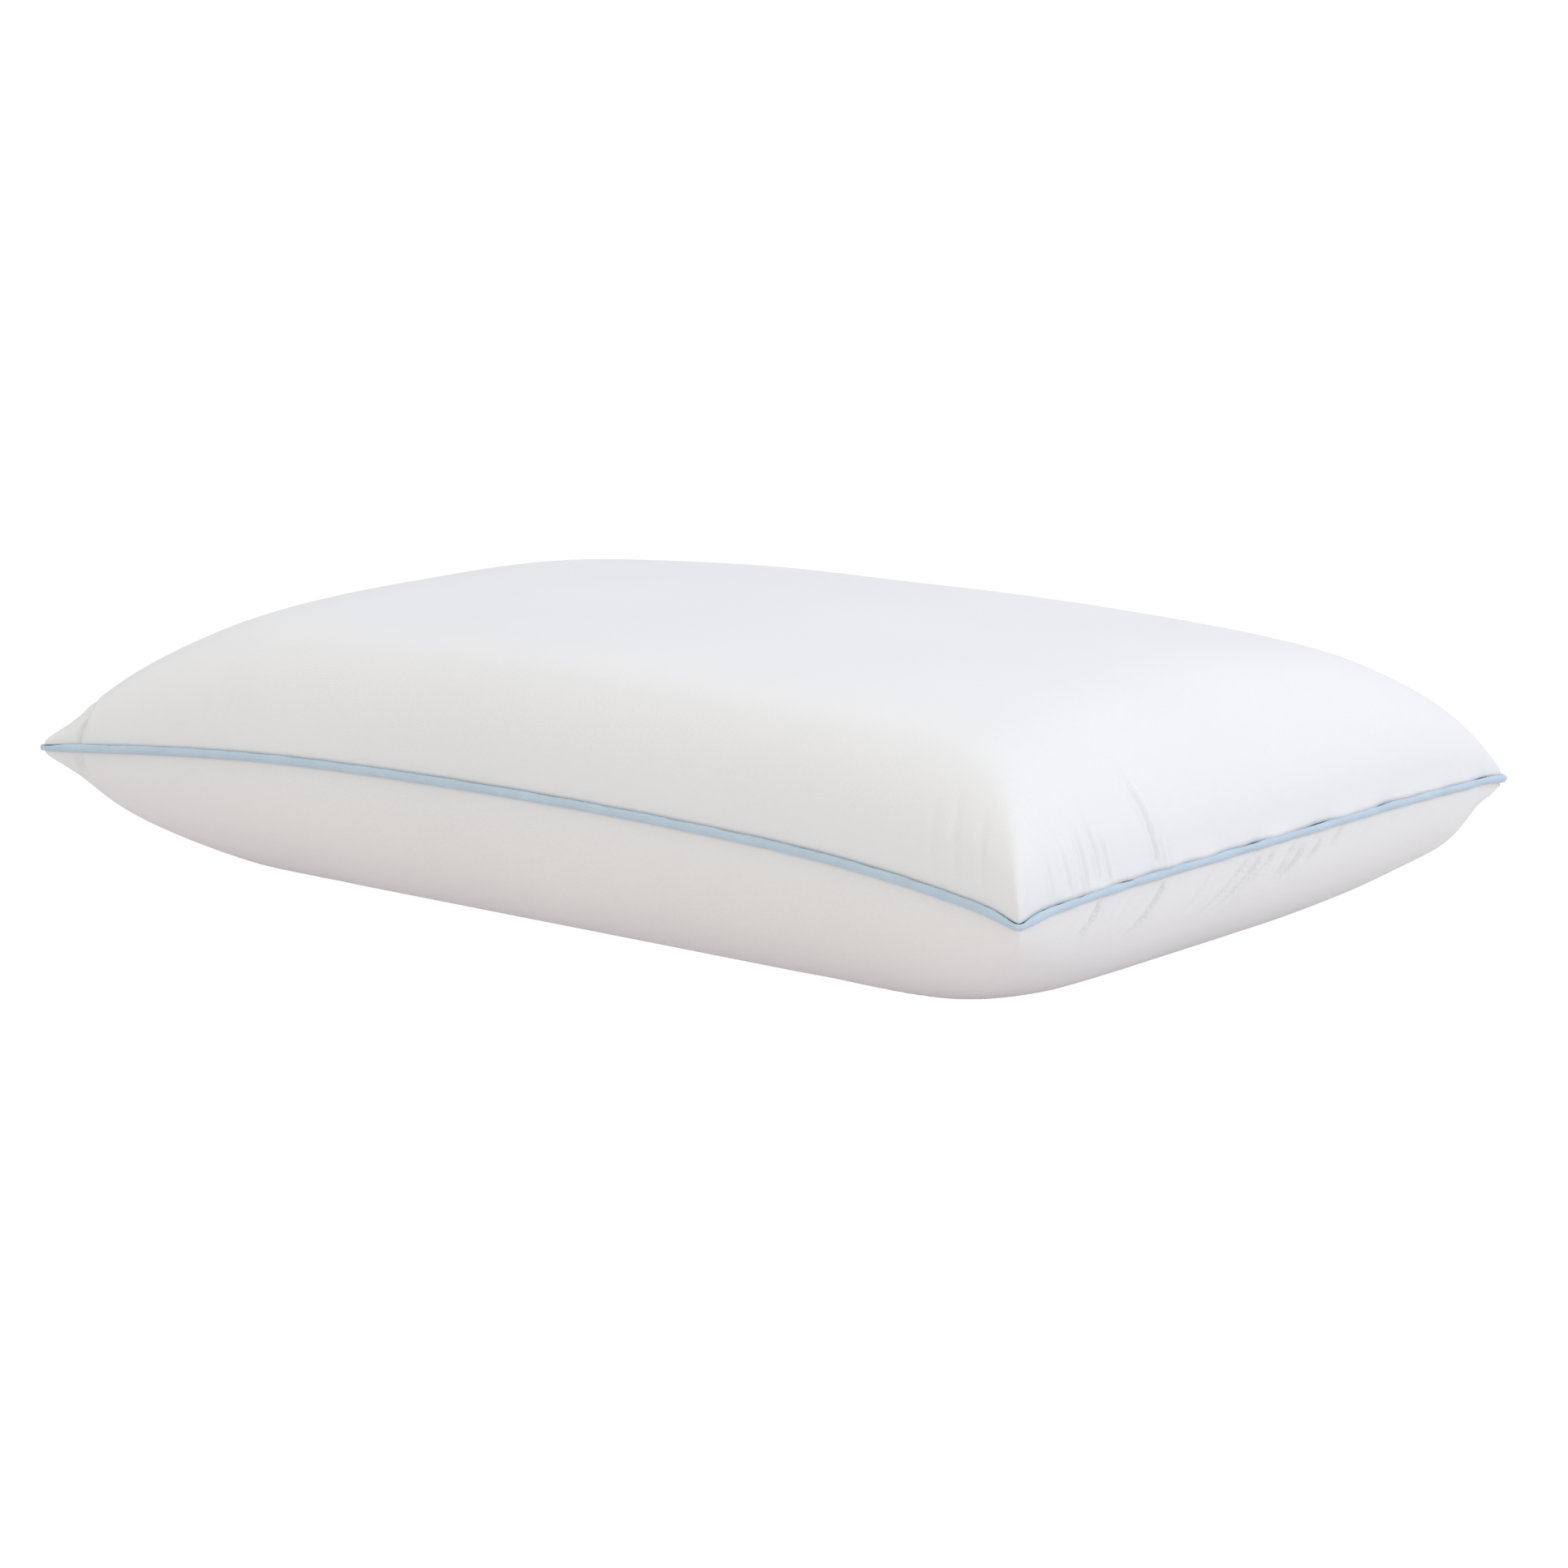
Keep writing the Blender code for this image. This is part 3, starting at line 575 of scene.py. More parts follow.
def bottom_lines(step_p, step_q):
    drop = SEAM_HEIGHT * BOTTOM_FLATTENING
    p_lines = places(HALF_LENGTH, drop, BOTTOM_END_POWER, BOTTOM_PROFILE_POWER, step_p)
    return p_lines, places(HALF_WIDTH, drop, BOTTOM_SIDE_POWER, BOTTOM_PROFILE_POWER, step_q)


def make_cover(finish):
    p_lines, q_lines = top_lines(fine_near_ear, fine_near_front)
    top = Cloth(top_form, p_lines, q_lines)
    area_top = cloth_area(top)
    hold = 1 - np.exp(-top.to_edge() / (1.2 * MM))
    relief = top_folds(top) * hold
    top.points = top.points + top.normals * relief[..., None]
    roll = overhang(top.points[..., 1]) * bump(top.from_right, 0.0, 5.0 * MM)
    top.points[..., 0] += 1.6 * MM * roll
    top.points[..., 2] -= 0.4 * MM * roll
    tucks = ((0.9 * MM, 1.35 * MM), (PIPING_FLANGE - 0.8 * MM, 1.15 * MM))
    upper = sheet_object("cover_top", top, True, tucks)
    thicken(upper, PANEL_THICKNESS)
    finish_piece(upper, "pillow", ["cover_top_panel"], finish)

    notch_share = (NOTCH_DEPTH - PANEL_EDGE) / (BOTTOM_FLATTENING * (SEAM_HEIGHT + SEAM_RISE))
    notch_q = (1 - notch_share**BOTTOM_PROFILE_POWER) ** (1 / BOTTOM_SIDE_POWER)
    p_lines, q_lines = bottom_lines(fine_near_ear, fine_near_front)
    notch_p = NOTCH_REACH / (HALF_LENGTH - END_BOW)
    p_lines = snapped(snapped(p_lines, notch_p), -notch_p)
    hem_lines = notch_q - (1 - notch_q) * np.linspace(0.15, 2.4, 12)
    q_lines = q_lines[(q_lines < hem_lines.min()) | (q_lines > notch_q)]
    q_lines = np.sort(np.concatenate([q_lines, hem_lines, [notch_q]]))
    bottom = Cloth(bottom_form, p_lines, q_lines)
    area_bottom = cloth_area(bottom)
    hold = 1 - np.exp(-bottom.to_edge() / (1.2 * MM))
    relief = bottom_folds(bottom) * hold
    flat = smooth(bottom.points[..., 2] / 0.006)
    below = NOTCH_DEPTH - PANEL_EDGE
    under = bottom.from_back - below
    along = window(bottom.points[..., 0], -NOTCH_REACH - 0.004, NOTCH_REACH + 0.004, 0.004)
    hem = 0.5 * MM * window(under, -0.004, 0.009, 0.001) - 0.45 * MM * bump(under, 2 * MM, 0.8 * MM)
    relief = relief * flat - hem * along * (bottom.q > 0)
    bottom.points = bottom.points - bottom.normals * relief[..., None]
    bottom.points[..., 2] = np.maximum(bottom.points[..., 2], 0.0)
    middle_p = (bottom.p[1:, 1:] + bottom.p[:-1, :-1]) / 2
    middle_q = (bottom.q[1:, 1:] + bottom.q[:-1, :-1]) / 2
    hidden = (np.abs(middle_p) < notch_p) & (middle_q > notch_q)
    lower = sheet_object("cover_bottom", bottom, False, tucks, hidden)
    thicken(lower, PANEL_THICKNESS)
    finish_piece(lower, "pillow", ["cover_bottom_panel"], finish)
    declare_stretched(area_top)
    declare_stretched(area_bottom)


# ---------------------------------------------------------------- rings along the seam


def seam_places():
    """Places around the seam, counter-clockwise from the front left ear, closer together in the ears."""

    def step_at(x, half):
        return np.where(half - np.abs(x) < 0.016, 0.7 * MM, 2.4 * MM)

    def side(half):
        x = np.linspace(-half, half, 6001)
        return (spaced(x, np.diff(x) / step_at((x[1:] + x[:-1]) / 2, half)) / half)[:-1]

    along, across = side(HALF_LENGTH), side(HALF_WIDTH)
    one = np.ones_like
    p = np.concatenate([along, one(across), -along, -one(across)])
    q = np.concatenate([-one(along), across, one(along), -across])
    return p, q


SEAM_P, SEAM_Q = seam_places()


def run_along(line):
    steps = np.linalg.norm(np.roll(line, -1, axis=0) - line, axis=1)
    return np.concatenate([[0], np.cumsum(steps)[:-1]])


def seam_frame():
    """Points, outward directions and running length of the rounded seam outline."""
    x, y = plan(SEAM_P, SEAM_Q, 0.0)
    line = settle(np.stack([x, y, seam_z(SEAM_P, SEAM_Q)], -1))
    along = np.roll(line, -1, axis=0) - np.roll(line, 1, axis=0)
    along[:, 2] = 0
    along /= np.linalg.norm(along, axis=1, keepdims=True)
    out = np.stack([along[:, 1], -along[:, 0], np.zeros(len(along))], -1)
    return line, out, run_along(line)


def inner_ring(inset, eared=True):
    x, y = plan(SEAM_P, SEAM_Q, inset, eared)
    return settle(np.stack([x, y, seam_z(SEAM_P, SEAM_Q)], -1))


def arc(radius, start, end, count):
    angles = np.radians(np.linspace(start, end, count))
    return np.stack([radius * np.cos(angles), radius * np.sin(angles)], -1)


def round_cord(name, line, out, sides, radius_at):
    """A closed cord around the seam, whose radius depends on the angle around it."""
    rings = []
    for k in range(sides):
        angle = 2 * math.pi * k / sides
        radius = radius_at(angle)
        ring = line + out * (radius * math.cos(angle))[:, None]
        ring[:, 2] += radius * math.sin(angle)
        rings.append(ring)
    faces = band_faces(sides + 1, len(line)) % (sides * len(line))
    obj = new_object(name, np.concatenate(rings), faces)
    fix_outward(obj)
    return obj


def make_piping(finish, cotton):
    line, out, run = seam_frame()
    y = line[:, 1]
    right = (SEAM_P > 0.999) * window(y, -0.205, 0.21, 0.02)
    tips = np.zeros(len(line))
    for side_x in (-1, 1):
        for side_y in (-1, 1):
            away = np.hypot(line[:, 0] - side_x * HALF_LENGTH, y - side_y * HALF_WIDTH)
            tips = np.maximum(tips, np.exp(-((away / 0.009) ** 2)))
    scale = 1 + 0.045 * ripple(run, 0.021, 41) + 0.03 * ripple(run, 0.006, 42)
    scale = scale - right * (0.15 + 0.10 * ripple(run, 0.030, 43)) - 0.34 * tips
    centre = PIPING_OUT * (1 - 0.3 * tips) - right * (0.1 + 0.25 * ripple(run, 0.026, 44)) * MM
    lift = 0.15 * MM * ripple(run, 0.034, 45) - right * 0.15 * MM
    inner = PIPING_RADIUS - PIPING_CLOTH
    slit = PIPING_SLIT / 2
    outside = slit + PIPING_CLOTH
    neck = 180 - math.degrees(math.asin(outside / PIPING_RADIUS))
    throat = 180 - math.degrees(math.asin(slit / inner))
    outer_arc = arc(PIPING_RADIUS, -neck, neck, 21)
    inner_arc = arc(inner, throat, -throat, 13)
    count = len(line)
    rings = []
    flange = inner_ring(PIPING_FLANGE)

    def flange_ring(height):
        ring = flange.copy()
        ring[:, 2] += height
        return ring

    def arc_ring(u, v, angle, wrinkled):
        factor = scale.copy()
        if wrinkled:
            factor = factor + 0.03 * np.sin(3 * angle + ripple(run, 0.012, 46) * 5) * ripple(run, 0.007, 47)
        ring = line + out * (centre + u * factor)[:, None]
        ring[:, 2] += v * factor + lift
        return ring

    rings.append(flange_ring(-outside))
    for u, v in outer_arc:
        rings.append(arc_ring(u, v, math.atan2(v, u), True))
    rings.append(flange_ring(outside))
    rings.append(flange_ring(slit))
    for u, v in inner_arc:
        rings.append(arc_ring(u, v, 0.0, False))
    rings.append(flange_ring(-slit))
    rings.append(rings[0])
    total = len(rings) - 1
    points = np.concatenate(rings[:-1])
    faces = band_faces(len(rings), count)
    faces = faces % (total * count)
    around = np.repeat(np.arange(total) / total, count)
    uv = np.stack([np.tile(run, total), around * 0.03], -1)
    wrap = new_object("piping_cover", points, faces, uv)
    fix_outward(wrap)
    finish_piece(wrap, "pillow", ["piping_wrap"], finish)
    cord_radius = PIPING_RADIUS - PIPING_CLOTH - GAP
    middle = line + out * centre[:, None]
    middle[:, 2] += lift

    def strands(angle):
        return cord_radius * scale * (0.93 + 0.06 * np.cos(3 * (angle + run / 0.0022)))

    cord = round_cord("piping_core", middle, out, 12, strands)
    finish_piece(cord, "pillow", ["piping_cord"], cotton)


def fix_outward(obj):
    """Turns the faces over if they face inwards."""
    bm = bmesh.new()
    bm.from_mesh(obj.data)
    if bm.calc_volume(signed=True) < 0:
        bmesh.ops.reverse_faces(bm, faces=bm.faces)
    bm.to_mesh(obj.data)
    bm.free()
    obj.data.shade_smooth()


def thread_ring(name, inset, eared, replaced, finish):
    """A sewing thread along the seam, laid as a row of twisted stitches."""
    line = inner_ring(inset, eared)
    run = run_along(line)
    out = inner_ring(inset - MM, eared) - line
    out /= np.linalg.norm(out, axis=1, keepdims=True)

    def twist(angle):
        return SEAM_THREAD_RADIUS * (0.8 + 0.15 * np.cos(2 * (angle + run / 0.001)))

    thread = round_cord(name, line, out, 6, twist)
    finish_piece(thread, "pillow", [replaced], finish)


# ---------------------------------------------------------------- liner and core


def make_liner_and_core(liner_finish, foam_finish):
    def step(x):
        return np.full(np.shape(x), 6 * MM)

    p_top, q_top = top_lines(step, step)
    p_low, q_low = bottom_lines(step, step)
    shape = LINER_IN, LINER_FACE, LINER_THICKNESS + GAP, False
    jobs = (
        ("liner_top", top_form, p_top, q_top, True, "liner_upper_panel"),
        ("liner_bottom", bottom_form, p_low, q_low, False, "liner_lower_panel"),
    )
    for name, form, p_lines, q_lines, upper, replaced in jobs:
        cloth = Cloth(lambda p, q, made=form: made(p, q, *shape), p_lines, q_lines)
        obj = sheet_object(name, cloth, upper, ())
        thicken(obj, LINER_THICKNESS)
        finish_piece(obj, "pillow", [replaced], liner_finish)
        declare_stretched(cloth_area(cloth))
    shape = CORE_IN, CORE_FACE, 0.0, False
    count_p, count_q = len(p_top), len(q_top)
    p, q = np.meshgrid(p_top, q_top, indexing="ij")
    upper = top_form(p, q, *shape).reshape(-1, 3)
    lower = bottom_form(p, q, *shape).reshape(-1, 3)
    faces = grid_faces(count_p, count_q).reshape(-1, 4)
    loop = edge_loop(count_p, count_q)
    on_edge = np.zeros(count_p * count_q, bool)
    on_edge[loop] = True
    numbers = np.arange(count_p * count_q)
    below = np.where(on_edge, numbers, numbers + len(upper))
    points = np.concatenate([upper, lower])
    faces = np.concatenate([faces, below[faces[:, ::-1]]])
    used, renumber = trimmed(points, faces)
    core = new_object("foam_block", points[used], renumber[faces])
    finish_piece(core, "pillow", ["foam_core"], foam_finish)


# ---------------------------------------------------------------- zip


def tube(points, radius, sides=6):
    """Vertices and faces of a tube along the points, with flat ends."""
    points = np.asarray(points, float)
    along = np.gradient(points, axis=0)
    along /= np.maximum(np.linalg.norm(along, axis=1, keepdims=True), 1e-12)
    up = np.array((0.0, 0.0, 1.0)) if abs(along[0][2]) < 0.9 else np.array((1.0, 0.0, 0.0))
    first = np.cross(along, up)
    first /= np.maximum(np.linalg.norm(first, axis=1, keepdims=True), 1e-12)
    second = np.cross(along, first)
    radius = np.broadcast_to(radius, len(points))
    verts = []
    for k in range(sides):
        angle = 2 * math.pi * k / sides
        verts.append(points + (first * math.cos(angle) + second * math.sin(angle)) * radius[:, None])
    verts = np.stack(verts, 1).reshape(-1, 3)
    rings = band_faces(len(points), sides)
    faces = [list(map(int, face)) for face in rings]
    last = (len(points) - 1) * sides
    faces.append(list(range(sides))[::-1])
    faces.append(list(range(last, last + sides)))
    return verts, faces


def joined_tubes(name, runs, radius):
    verts, faces, offset = [], [], 0
    for points in runs:
        made, quads = tube(points, radius)
        verts.append(made)
        faces += [[v + offset for v in face] for face in quads]
        offset += len(made)
    obj = new_object(name, np.concatenate(verts), faces)
    fix_outward(obj)
    return obj


COIL_PITCH = 1.3 * MM
COIL_WIRE = 0.23 * MM
COIL_RADIUS = (coil_high.y - coil_low.y) / 2
COIL_Y = (coil_high.y + coil_low.y) / 2
COIL_CLOSED = GAP / 2 + COIL_RADIUS
COIL_OPEN = 0.00075 + GAP + COIL_RADIUS
SLIDER_X = (slider_low.x + slider_high.x) / 2
zip_slide = next(joint for joint in frame["joints"] if joint["name"] == "zip_slide")
ZIP_TRAVEL = zip_slide["range_m"][1]


def make_coils(finish):
    low_x, high_x = coil_low.x, coil_high.x
    turns = (high_x - low_x) / COIL_PITCH
    steps = 12
    for side, name in ((1, "upper"), (-1, "lower")):
        t = np.arange(int(turns * steps)) / steps
        x = low_x + 0.3 * MM + t * COIL_PITCH * (high_x - low_x - 0.6 * MM) / (turns * COIL_PITCH)
        x = x + (0.5 * COIL_PITCH if side > 0 else 0.0)
        x = np.minimum(x, high_x - 0.25 * MM)
        apart = smooth((SLIDER_X + 0.5 * MM - x) / (3.5 * MM))
        middle = COIL_CLOSED + (COIL_OPEN - COIL_CLOSED) * apart
        radius = COIL_RADIUS - COIL_WIRE
        angle = 2 * math.pi * t
        z = CHAIN_Z + side * (middle + radius * np.cos(angle))
        y = COIL_Y + radius * np.sin(angle) * 0.95
        coil = np.stack([x, y, z], -1)
        shut = x > SLIDER_X + ZIP_TRAVEL - 1.2 * MM  # what the slider never opens
        opened = joined_tubes(f"zip_teeth_{name}", [coil[~shut]], COIL_WIRE)
        finish_piece(opened, "pillow", [f"zip_coil_{name}"], finish)
        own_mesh(opened)
        last = joined_tubes(f"zip_teeth_{name}_end", [coil[shut]], COIL_WIRE)
        finish_piece(last, "pillow", [f"zip_coil_{name}"], finish)


def make_tapes(finish):
    boxes = ((tape_low, tape_high, "upper", 1), (lower_tape_low, lower_tape_high, "lower", -1))
    for low, high, name, side in boxes:
        columns = int((high.x - low.x) / (2.0 * MM)) + 1
        rows = 11
        lines = np.linspace(low.x, high.x, columns), np.linspace(low.z, high.z, rows)
        x, z = np.meshgrid(*lines, indexing="ij")
        share = (z - low.z) / (high.z - low.z)
        free = share if side < 0 else 1 - share
        wave = 0.05 * MM * ripple(x, 0.02, 51) * (1 - free)
        front = np.stack([x, high.y + wave - 0.05 * MM, z], -1)
        back = np.stack([x, np.full_like(z, low.y), z], -1)
        count = columns * rows
        faces_front = grid_faces(columns, rows).reshape(-1, 4)
        loop = edge_loop(columns, rows)
        rim = np.stack([loop, loop + count, np.roll(loop, -1) + count, np.roll(loop, -1)], -1)
        faces = np.concatenate([faces_front, faces_front[:, ::-1] + count, rim[:, ::-1]])
        points = np.concatenate([front.reshape(-1, 3), back.reshape(-1, 3)])
        uv = np.stack([points[:, 0], points[:, 2]], -1)
        obj = new_object(f"zip_cloth_{name}", points, faces, uv)
        fix_outward(obj)
        finish_piece(obj, "pillow", [f"zip_tape_{name}"], finish)
        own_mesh(obj)


def make_metal(finish):
    stops = ("zip_top_stop_upper", "zip_top_stop_lower", "zip_bottom_stop")
    for name in ("zip_slider_body", "zip_pull_tab", *stops):
        obj = frame["nodes"][name]
        obj.data.materials.clear()
        obj.data.materials.append(finish)
        remesh = obj.modifiers.new("Skin", "REMESH")
        remesh.mode = "VOXEL"
        remesh.voxel_size = 0.00014
        remesh.use_smooth_shade = True
        relax = obj.modifiers.new("Relax", "SMOOTH")
        relax.factor = 0.5
        relax.iterations = 4


def make_stitching(thread):
    low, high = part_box("zip_topstitch")
    y, z = (low.y + high.y) / 2, (low.z + high.z) / 2
    pitch = 3.0 * MM
    count = int((high.x - low.x) / pitch)
    runs = []
    for i in range(count):
        start = low.x + (i + 0.12) * pitch
        t = np.linspace(0, 1, 7)
        x = start + t * pitch * 0.76
        dip = -0.35 * MM + 0.45 * MM * np.sin(math.pi * t) ** 0.5
        slope = (t - 0.5) * 0.25 * MM
        runs.append(np.stack([x, y + dip, z + slope], -1))
    obj = joined_tubes("zip_stitches", runs, 0.25 * MM)
    finish_piece(obj, "pillow", ["zip_topstitch"], thread)
    for name in ("left", "right"):
        low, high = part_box(f"zip_bar_tack_{name}")
        runs = []
        count = 22
        for i in range(count):
            z = low.z + (i + 0.5) * (high.z - low.z) / count
            t = np.linspace(0, 1, 7)
            x = low.x + t * (high.x - low.x)
            y = low.y - 0.1 * MM + (high.y - low.y) * 0.75 * np.sin(math.pi * t) ** 0.5
            tilt = (t - 0.5) * 0.35 * MM * (1 if i % 2 else -1)
            runs.append(np.stack([x, y, z + tilt], -1))
        obj = joined_tubes(f"zip_tack_{name}", runs, 0.24 * MM)
        finish_piece(obj, "pillow", [f"zip_bar_tack_{name}"], thread)


def make_label(finish):
    low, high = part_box("care_label")
    mesh = frame["nodes"]["care_label"].data
    corners = np.array([v.co for v in mesh.vertices])
    left = corners[corners[:, 0].argmin()]
    right = corners[corners[:, 0].argmax()]
    columns, rows = 31, 25
    s, t = np.meshgrid(np.linspace(0, 1, columns), np.linspace(0, 1, rows), indexing="ij")
    x = left[0] + (right[0] - left[0]) * s
    y = left[1] + (right[1] - left[1]) * s
    z = high.z + 0.6 * MM - (high.z - low.z) * t
    across = np.array((right[1] - left[1], -(right[0] - left[0])))
    across = -across / np.hypot(*across)
    curl = 1.6 * MM * t**2 + 0.9 * MM * np.sin(math.pi * s) * t * 0.6 + 0.25 * MM
    points = np.stack([x + across[0] * curl, y + across[1] * curl, z], -1)
    faces = grid_faces(columns, rows).reshape(-1, 4)
    uv = np.stack([s * LABEL_WIDTH, t * LABEL_HEIGHT], -1).reshape(-1, 2)
    obj = new_object("blank_label", points.reshape(-1, 3), faces[:, ::-1], uv)
    thicken(obj, 0.25 * MM)
    finish_piece(obj, "pillow", ["care_label"], finish)


# ---------------------------------------------------------------- materials


class Tree:
    """A small helper for building the nodes of a material or a world."""

    def __init__(self, owner):
        owner.use_nodes = True
        self.tree = owner.node_tree

    def add(self, kind, **settings):
        node = self.tree.nodes.new(kind)
        for key, value in settings.items():
            setattr(node, key, value)
        return node

    def link(self, source, target):
        self.tree.links.new(source, target)

    def math(self, operation, a, b=None):
        node = self.add("ShaderNodeMath", operation=operation)
        for slot, value in enumerate((a, b)):
            if value is None:
                continue
            if isinstance(value, (int, float)):
                node.inputs[slot].default_value = value
            else:
                self.link(value, node.inputs[slot])
        return node.outputs[0]

    def shader(self, kind, **values):
        node = self.add(kind)
        for key, value in values.items():
            node.inputs[key].default_value = value
        return node

    def sum(self, one, other):
        node = self.add("ShaderNodeAddShader")
        self.link(one.outputs[0], node.inputs[0])
        self.link(other.outputs[0], node.inputs[1])
        return node

    def show(self, kind, seen, unseen):
        """The camera sees one shader, and light meets the other."""
        path = self.add("ShaderNodeLightPath")
        mix = self.add("ShaderNodeMixShader")
        self.link(path.outputs["Is Camera Ray"], mix.inputs["Fac"])
        self.link(unseen.outputs[0], mix.inputs[1])
        self.link(seen.outputs[0], mix.inputs[2])
        self.link(mix.outputs[0], self.add(kind).inputs["Surface"])


class Nodes(Tree):
    """The nodes of one of the pillow's materials."""

    def __init__(self, name):
        self.material = bpy.data.materials.new(name)
        super().__init__(self.material)
        self.principled = self.tree.nodes["Principled BSDF"]

    def coordinates(self, kind="UV"):
        return self.add("ShaderNodeTexCoord").outputs[kind]

    def split(self, vector):
        node = self.add("ShaderNodeSeparateXYZ")
        self.link(vector, node.inputs[0])
        return node.outputs

    def wave(self, place, length):
        return self.math("SINE", self.math("MULTIPLY", place, 2 * math.pi / length))

    def noise(self, vector, scale, detail=2.0, roughness=0.5):
        node = self.add("ShaderNodeTexNoise")
        node.inputs["Scale"].default_value = scale
        node.inputs["Detail"].default_value = detail
        node.inputs["Roughness"].default_value = roughness
        self.link(vector, node.inputs["Vector"])
        return node.outputs["Fac"]

    def ramp(self, factor, colors):
        node = self.add("ShaderNodeValToRGB")
        elements = node.color_ramp.elements
        for number, (place, color) in enumerate(colors):
            element = elements[number] if number < 2 else elements.new(place)
            element.position = place
            element.color = (*color, 1.0)
        self.link(factor, node.inputs["Fac"])
        return node.outputs["Color"]

    def color(self, factor, low, high, low_at=0.3, high_at=0.7):
        """Colours the shader from low to high as factor rises."""
        ramp = self.ramp(factor, [(low_at, low), (high_at, high)])
        self.link(ramp, self.principled.inputs["Base Color"])

    def bump(self, height, distance, strength=1.0):
        node = self.add("ShaderNodeBump")
        node.inputs["Distance"].default_value = distance
        node.inputs["Strength"].default_value = strength
        self.link(height, node.inputs["Height"])
        self.link(node.outputs["Normal"], self.principled.inputs["Normal"])

    def set(self, **values):
        for key, value in values.items():
            name = key.replace("_", " ").title().replace("Ior", "IOR")
            self.principled.inputs[name].default_value = value


def knit_height(m, vector, wale, course):
    """Columns of small V-shaped loops: wale and course are one loop's width and height in metres."""
    place = m.split(vector)
    u = m.math("MULTIPLY", place["X"], 2 * math.pi / wale)
    column = m.math("ABSOLUTE", m.math("SINE", m.math("MULTIPLY", u, 0.5)))
    lean = m.math("MULTIPLY", m.math("ABSOLUTE", m.math("SINE", u)), 1.6)
    v = m.math("MULTIPLY", place["Y"], 2 * math.pi / course)
    loops = m.math("SINE", m.math("ADD", v, lean))
    return m.math("ADD", m.math("MULTIPLY", column, 0.6), m.math("MULTIPLY", loops, 0.4))


def knit_material(name, color, shade, wale, course, depth, sheen, roughness=0.8):
    m = Nodes(name)
    vector = m.coordinates("UV")
    height = knit_height(m, vector, wale, course)
    m.bump(height, depth)
    cloudy = m.noise(m.coordinates("Object"), 9.0, 3.0)
    m.color(cloudy, shade, color)
    m.set(roughness=roughness, sheen_weight=sheen, sheen_roughness=0.5, specular_ior_level=0.25)
    return m.material


def piping_material():
    m = Nodes("piping_cloth_blue")
    place = m.split(m.coordinates("UV"))
    one = m.wave(m.math("ADD", place["X"], place["Y"]), 0.0009)
    two = m.wave(m.math("SUBTRACT", place["X"], place["Y"]), 0.0009)
    m.bump(m.math("MULTIPLY", one, two), 0.00006)
    cloudy = m.noise(m.coordinates("Object"), 60.0, 3.0)
    m.color(cloudy, (0.565, 0.71, 0.84), (0.62, 0.76, 0.88))
    m.set(roughness=0.55, sheen_weight=0.3, sheen_roughness=0.4, specular_ior_level=0.35)
    return m.material


def plain_cloth(name, color, shade, depth, pitch, roughness=0.8):
    """Tight plain weave by object position, for pieces with no UVs."""
    m = Nodes(name)
    vector = m.coordinates("Object")
    place = m.split(vector)
    one, two = m.wave(place["X"], pitch), m.wave(place["Z"], pitch)
    m.bump(m.math("MULTIPLY", one, two), depth)
    cloudy = m.noise(vector, 40.0, 2.0)
    m.color(cloudy, shade, color)
    m.set(roughness=roughness, sheen_weight=0.2, specular_ior_level=0.3)
    return m.material


def foam_material():
    m = Nodes("memory_foam_cells")
    vector = m.coordinates("Object")
    cells = m.add("ShaderNodeTexVoronoi", feature="DISTANCE_TO_EDGE")
    cells.inputs["Scale"].default_value = 900.0
    m.link(vector, cells.inputs["Vector"])
    m.bump(cells.outputs["Distance"], 0.0003)
    cloudy = m.noise(vector, 30.0, 3.0)
    m.color(cloudy, (0.72, 0.70, 0.60), (0.80, 0.78, 0.68))
    m.set(roughness=0.95, specular_ior_level=0.1)
    return m.material


def nylon_material():
    m = Nodes("zip_nylon_clear")
    vector = m.coordinates("Object")
    cloudy = m.noise(vector, 300.0, 2.0)
    m.color(cloudy, (0.80, 0.82, 0.84), (0.88, 0.89, 0.90))
    m.set(roughness=0.32, specular_ior_level=0.5)
    return m.material


def metal_material():
    m = Nodes("zip_metal_nickel")
    vector = m.coordinates("Object")
    worn = m.noise(vector, 400.0, 4.0, 0.6)
    m.color(worn, (0.56, 0.57, 0.59), (0.70, 0.71, 0.72), 0.35, 0.65)
    fine = m.noise(vector, 2500.0, 2.0)
    m.bump(fine, 0.00002)
    rough = m.add("ShaderNodeMapRange")
    rough.inputs["To Min"].default_value = 0.22
    rough.inputs["To Max"].default_value = 0.38
    m.link(worn, rough.inputs["Value"])
    m.link(rough.outputs["Result"], m.principled.inputs["Roughness"])
    m.set(metallic=1.0)
    return m.material


def satin_material():
    m = Nodes("label_satin_blank")
    place = m.split(m.coordinates("UV"))
    m.bump(m.wave(place["X"], 0.0003), 0.00003)
    # a woven border a little inside the label's edge
    from_side = m.math("ABSOLUTE", m.math("SUBTRACT", place["X"], LABEL_WIDTH / 2))
    from_end = m.math("ABSOLUTE", m.math("SUBTRACT", place["Y"], LABEL_HEIGHT / 2))
    near_side = m.math("GREATER_THAN", from_side, 0.0132)
    near_end = m.math("GREATER_THAN", from_end, 0.0092)
    edge = m.math("MAXIMUM", near_side, near_end)
    m.color(edge, (0.84, 0.85, 0.87), (0.62, 0.74, 0.82), 0.0, 1.0)
    m.set(roughness=0.35, sheen_weight=0.2, specular_ior_level=0.5)
    return m.material


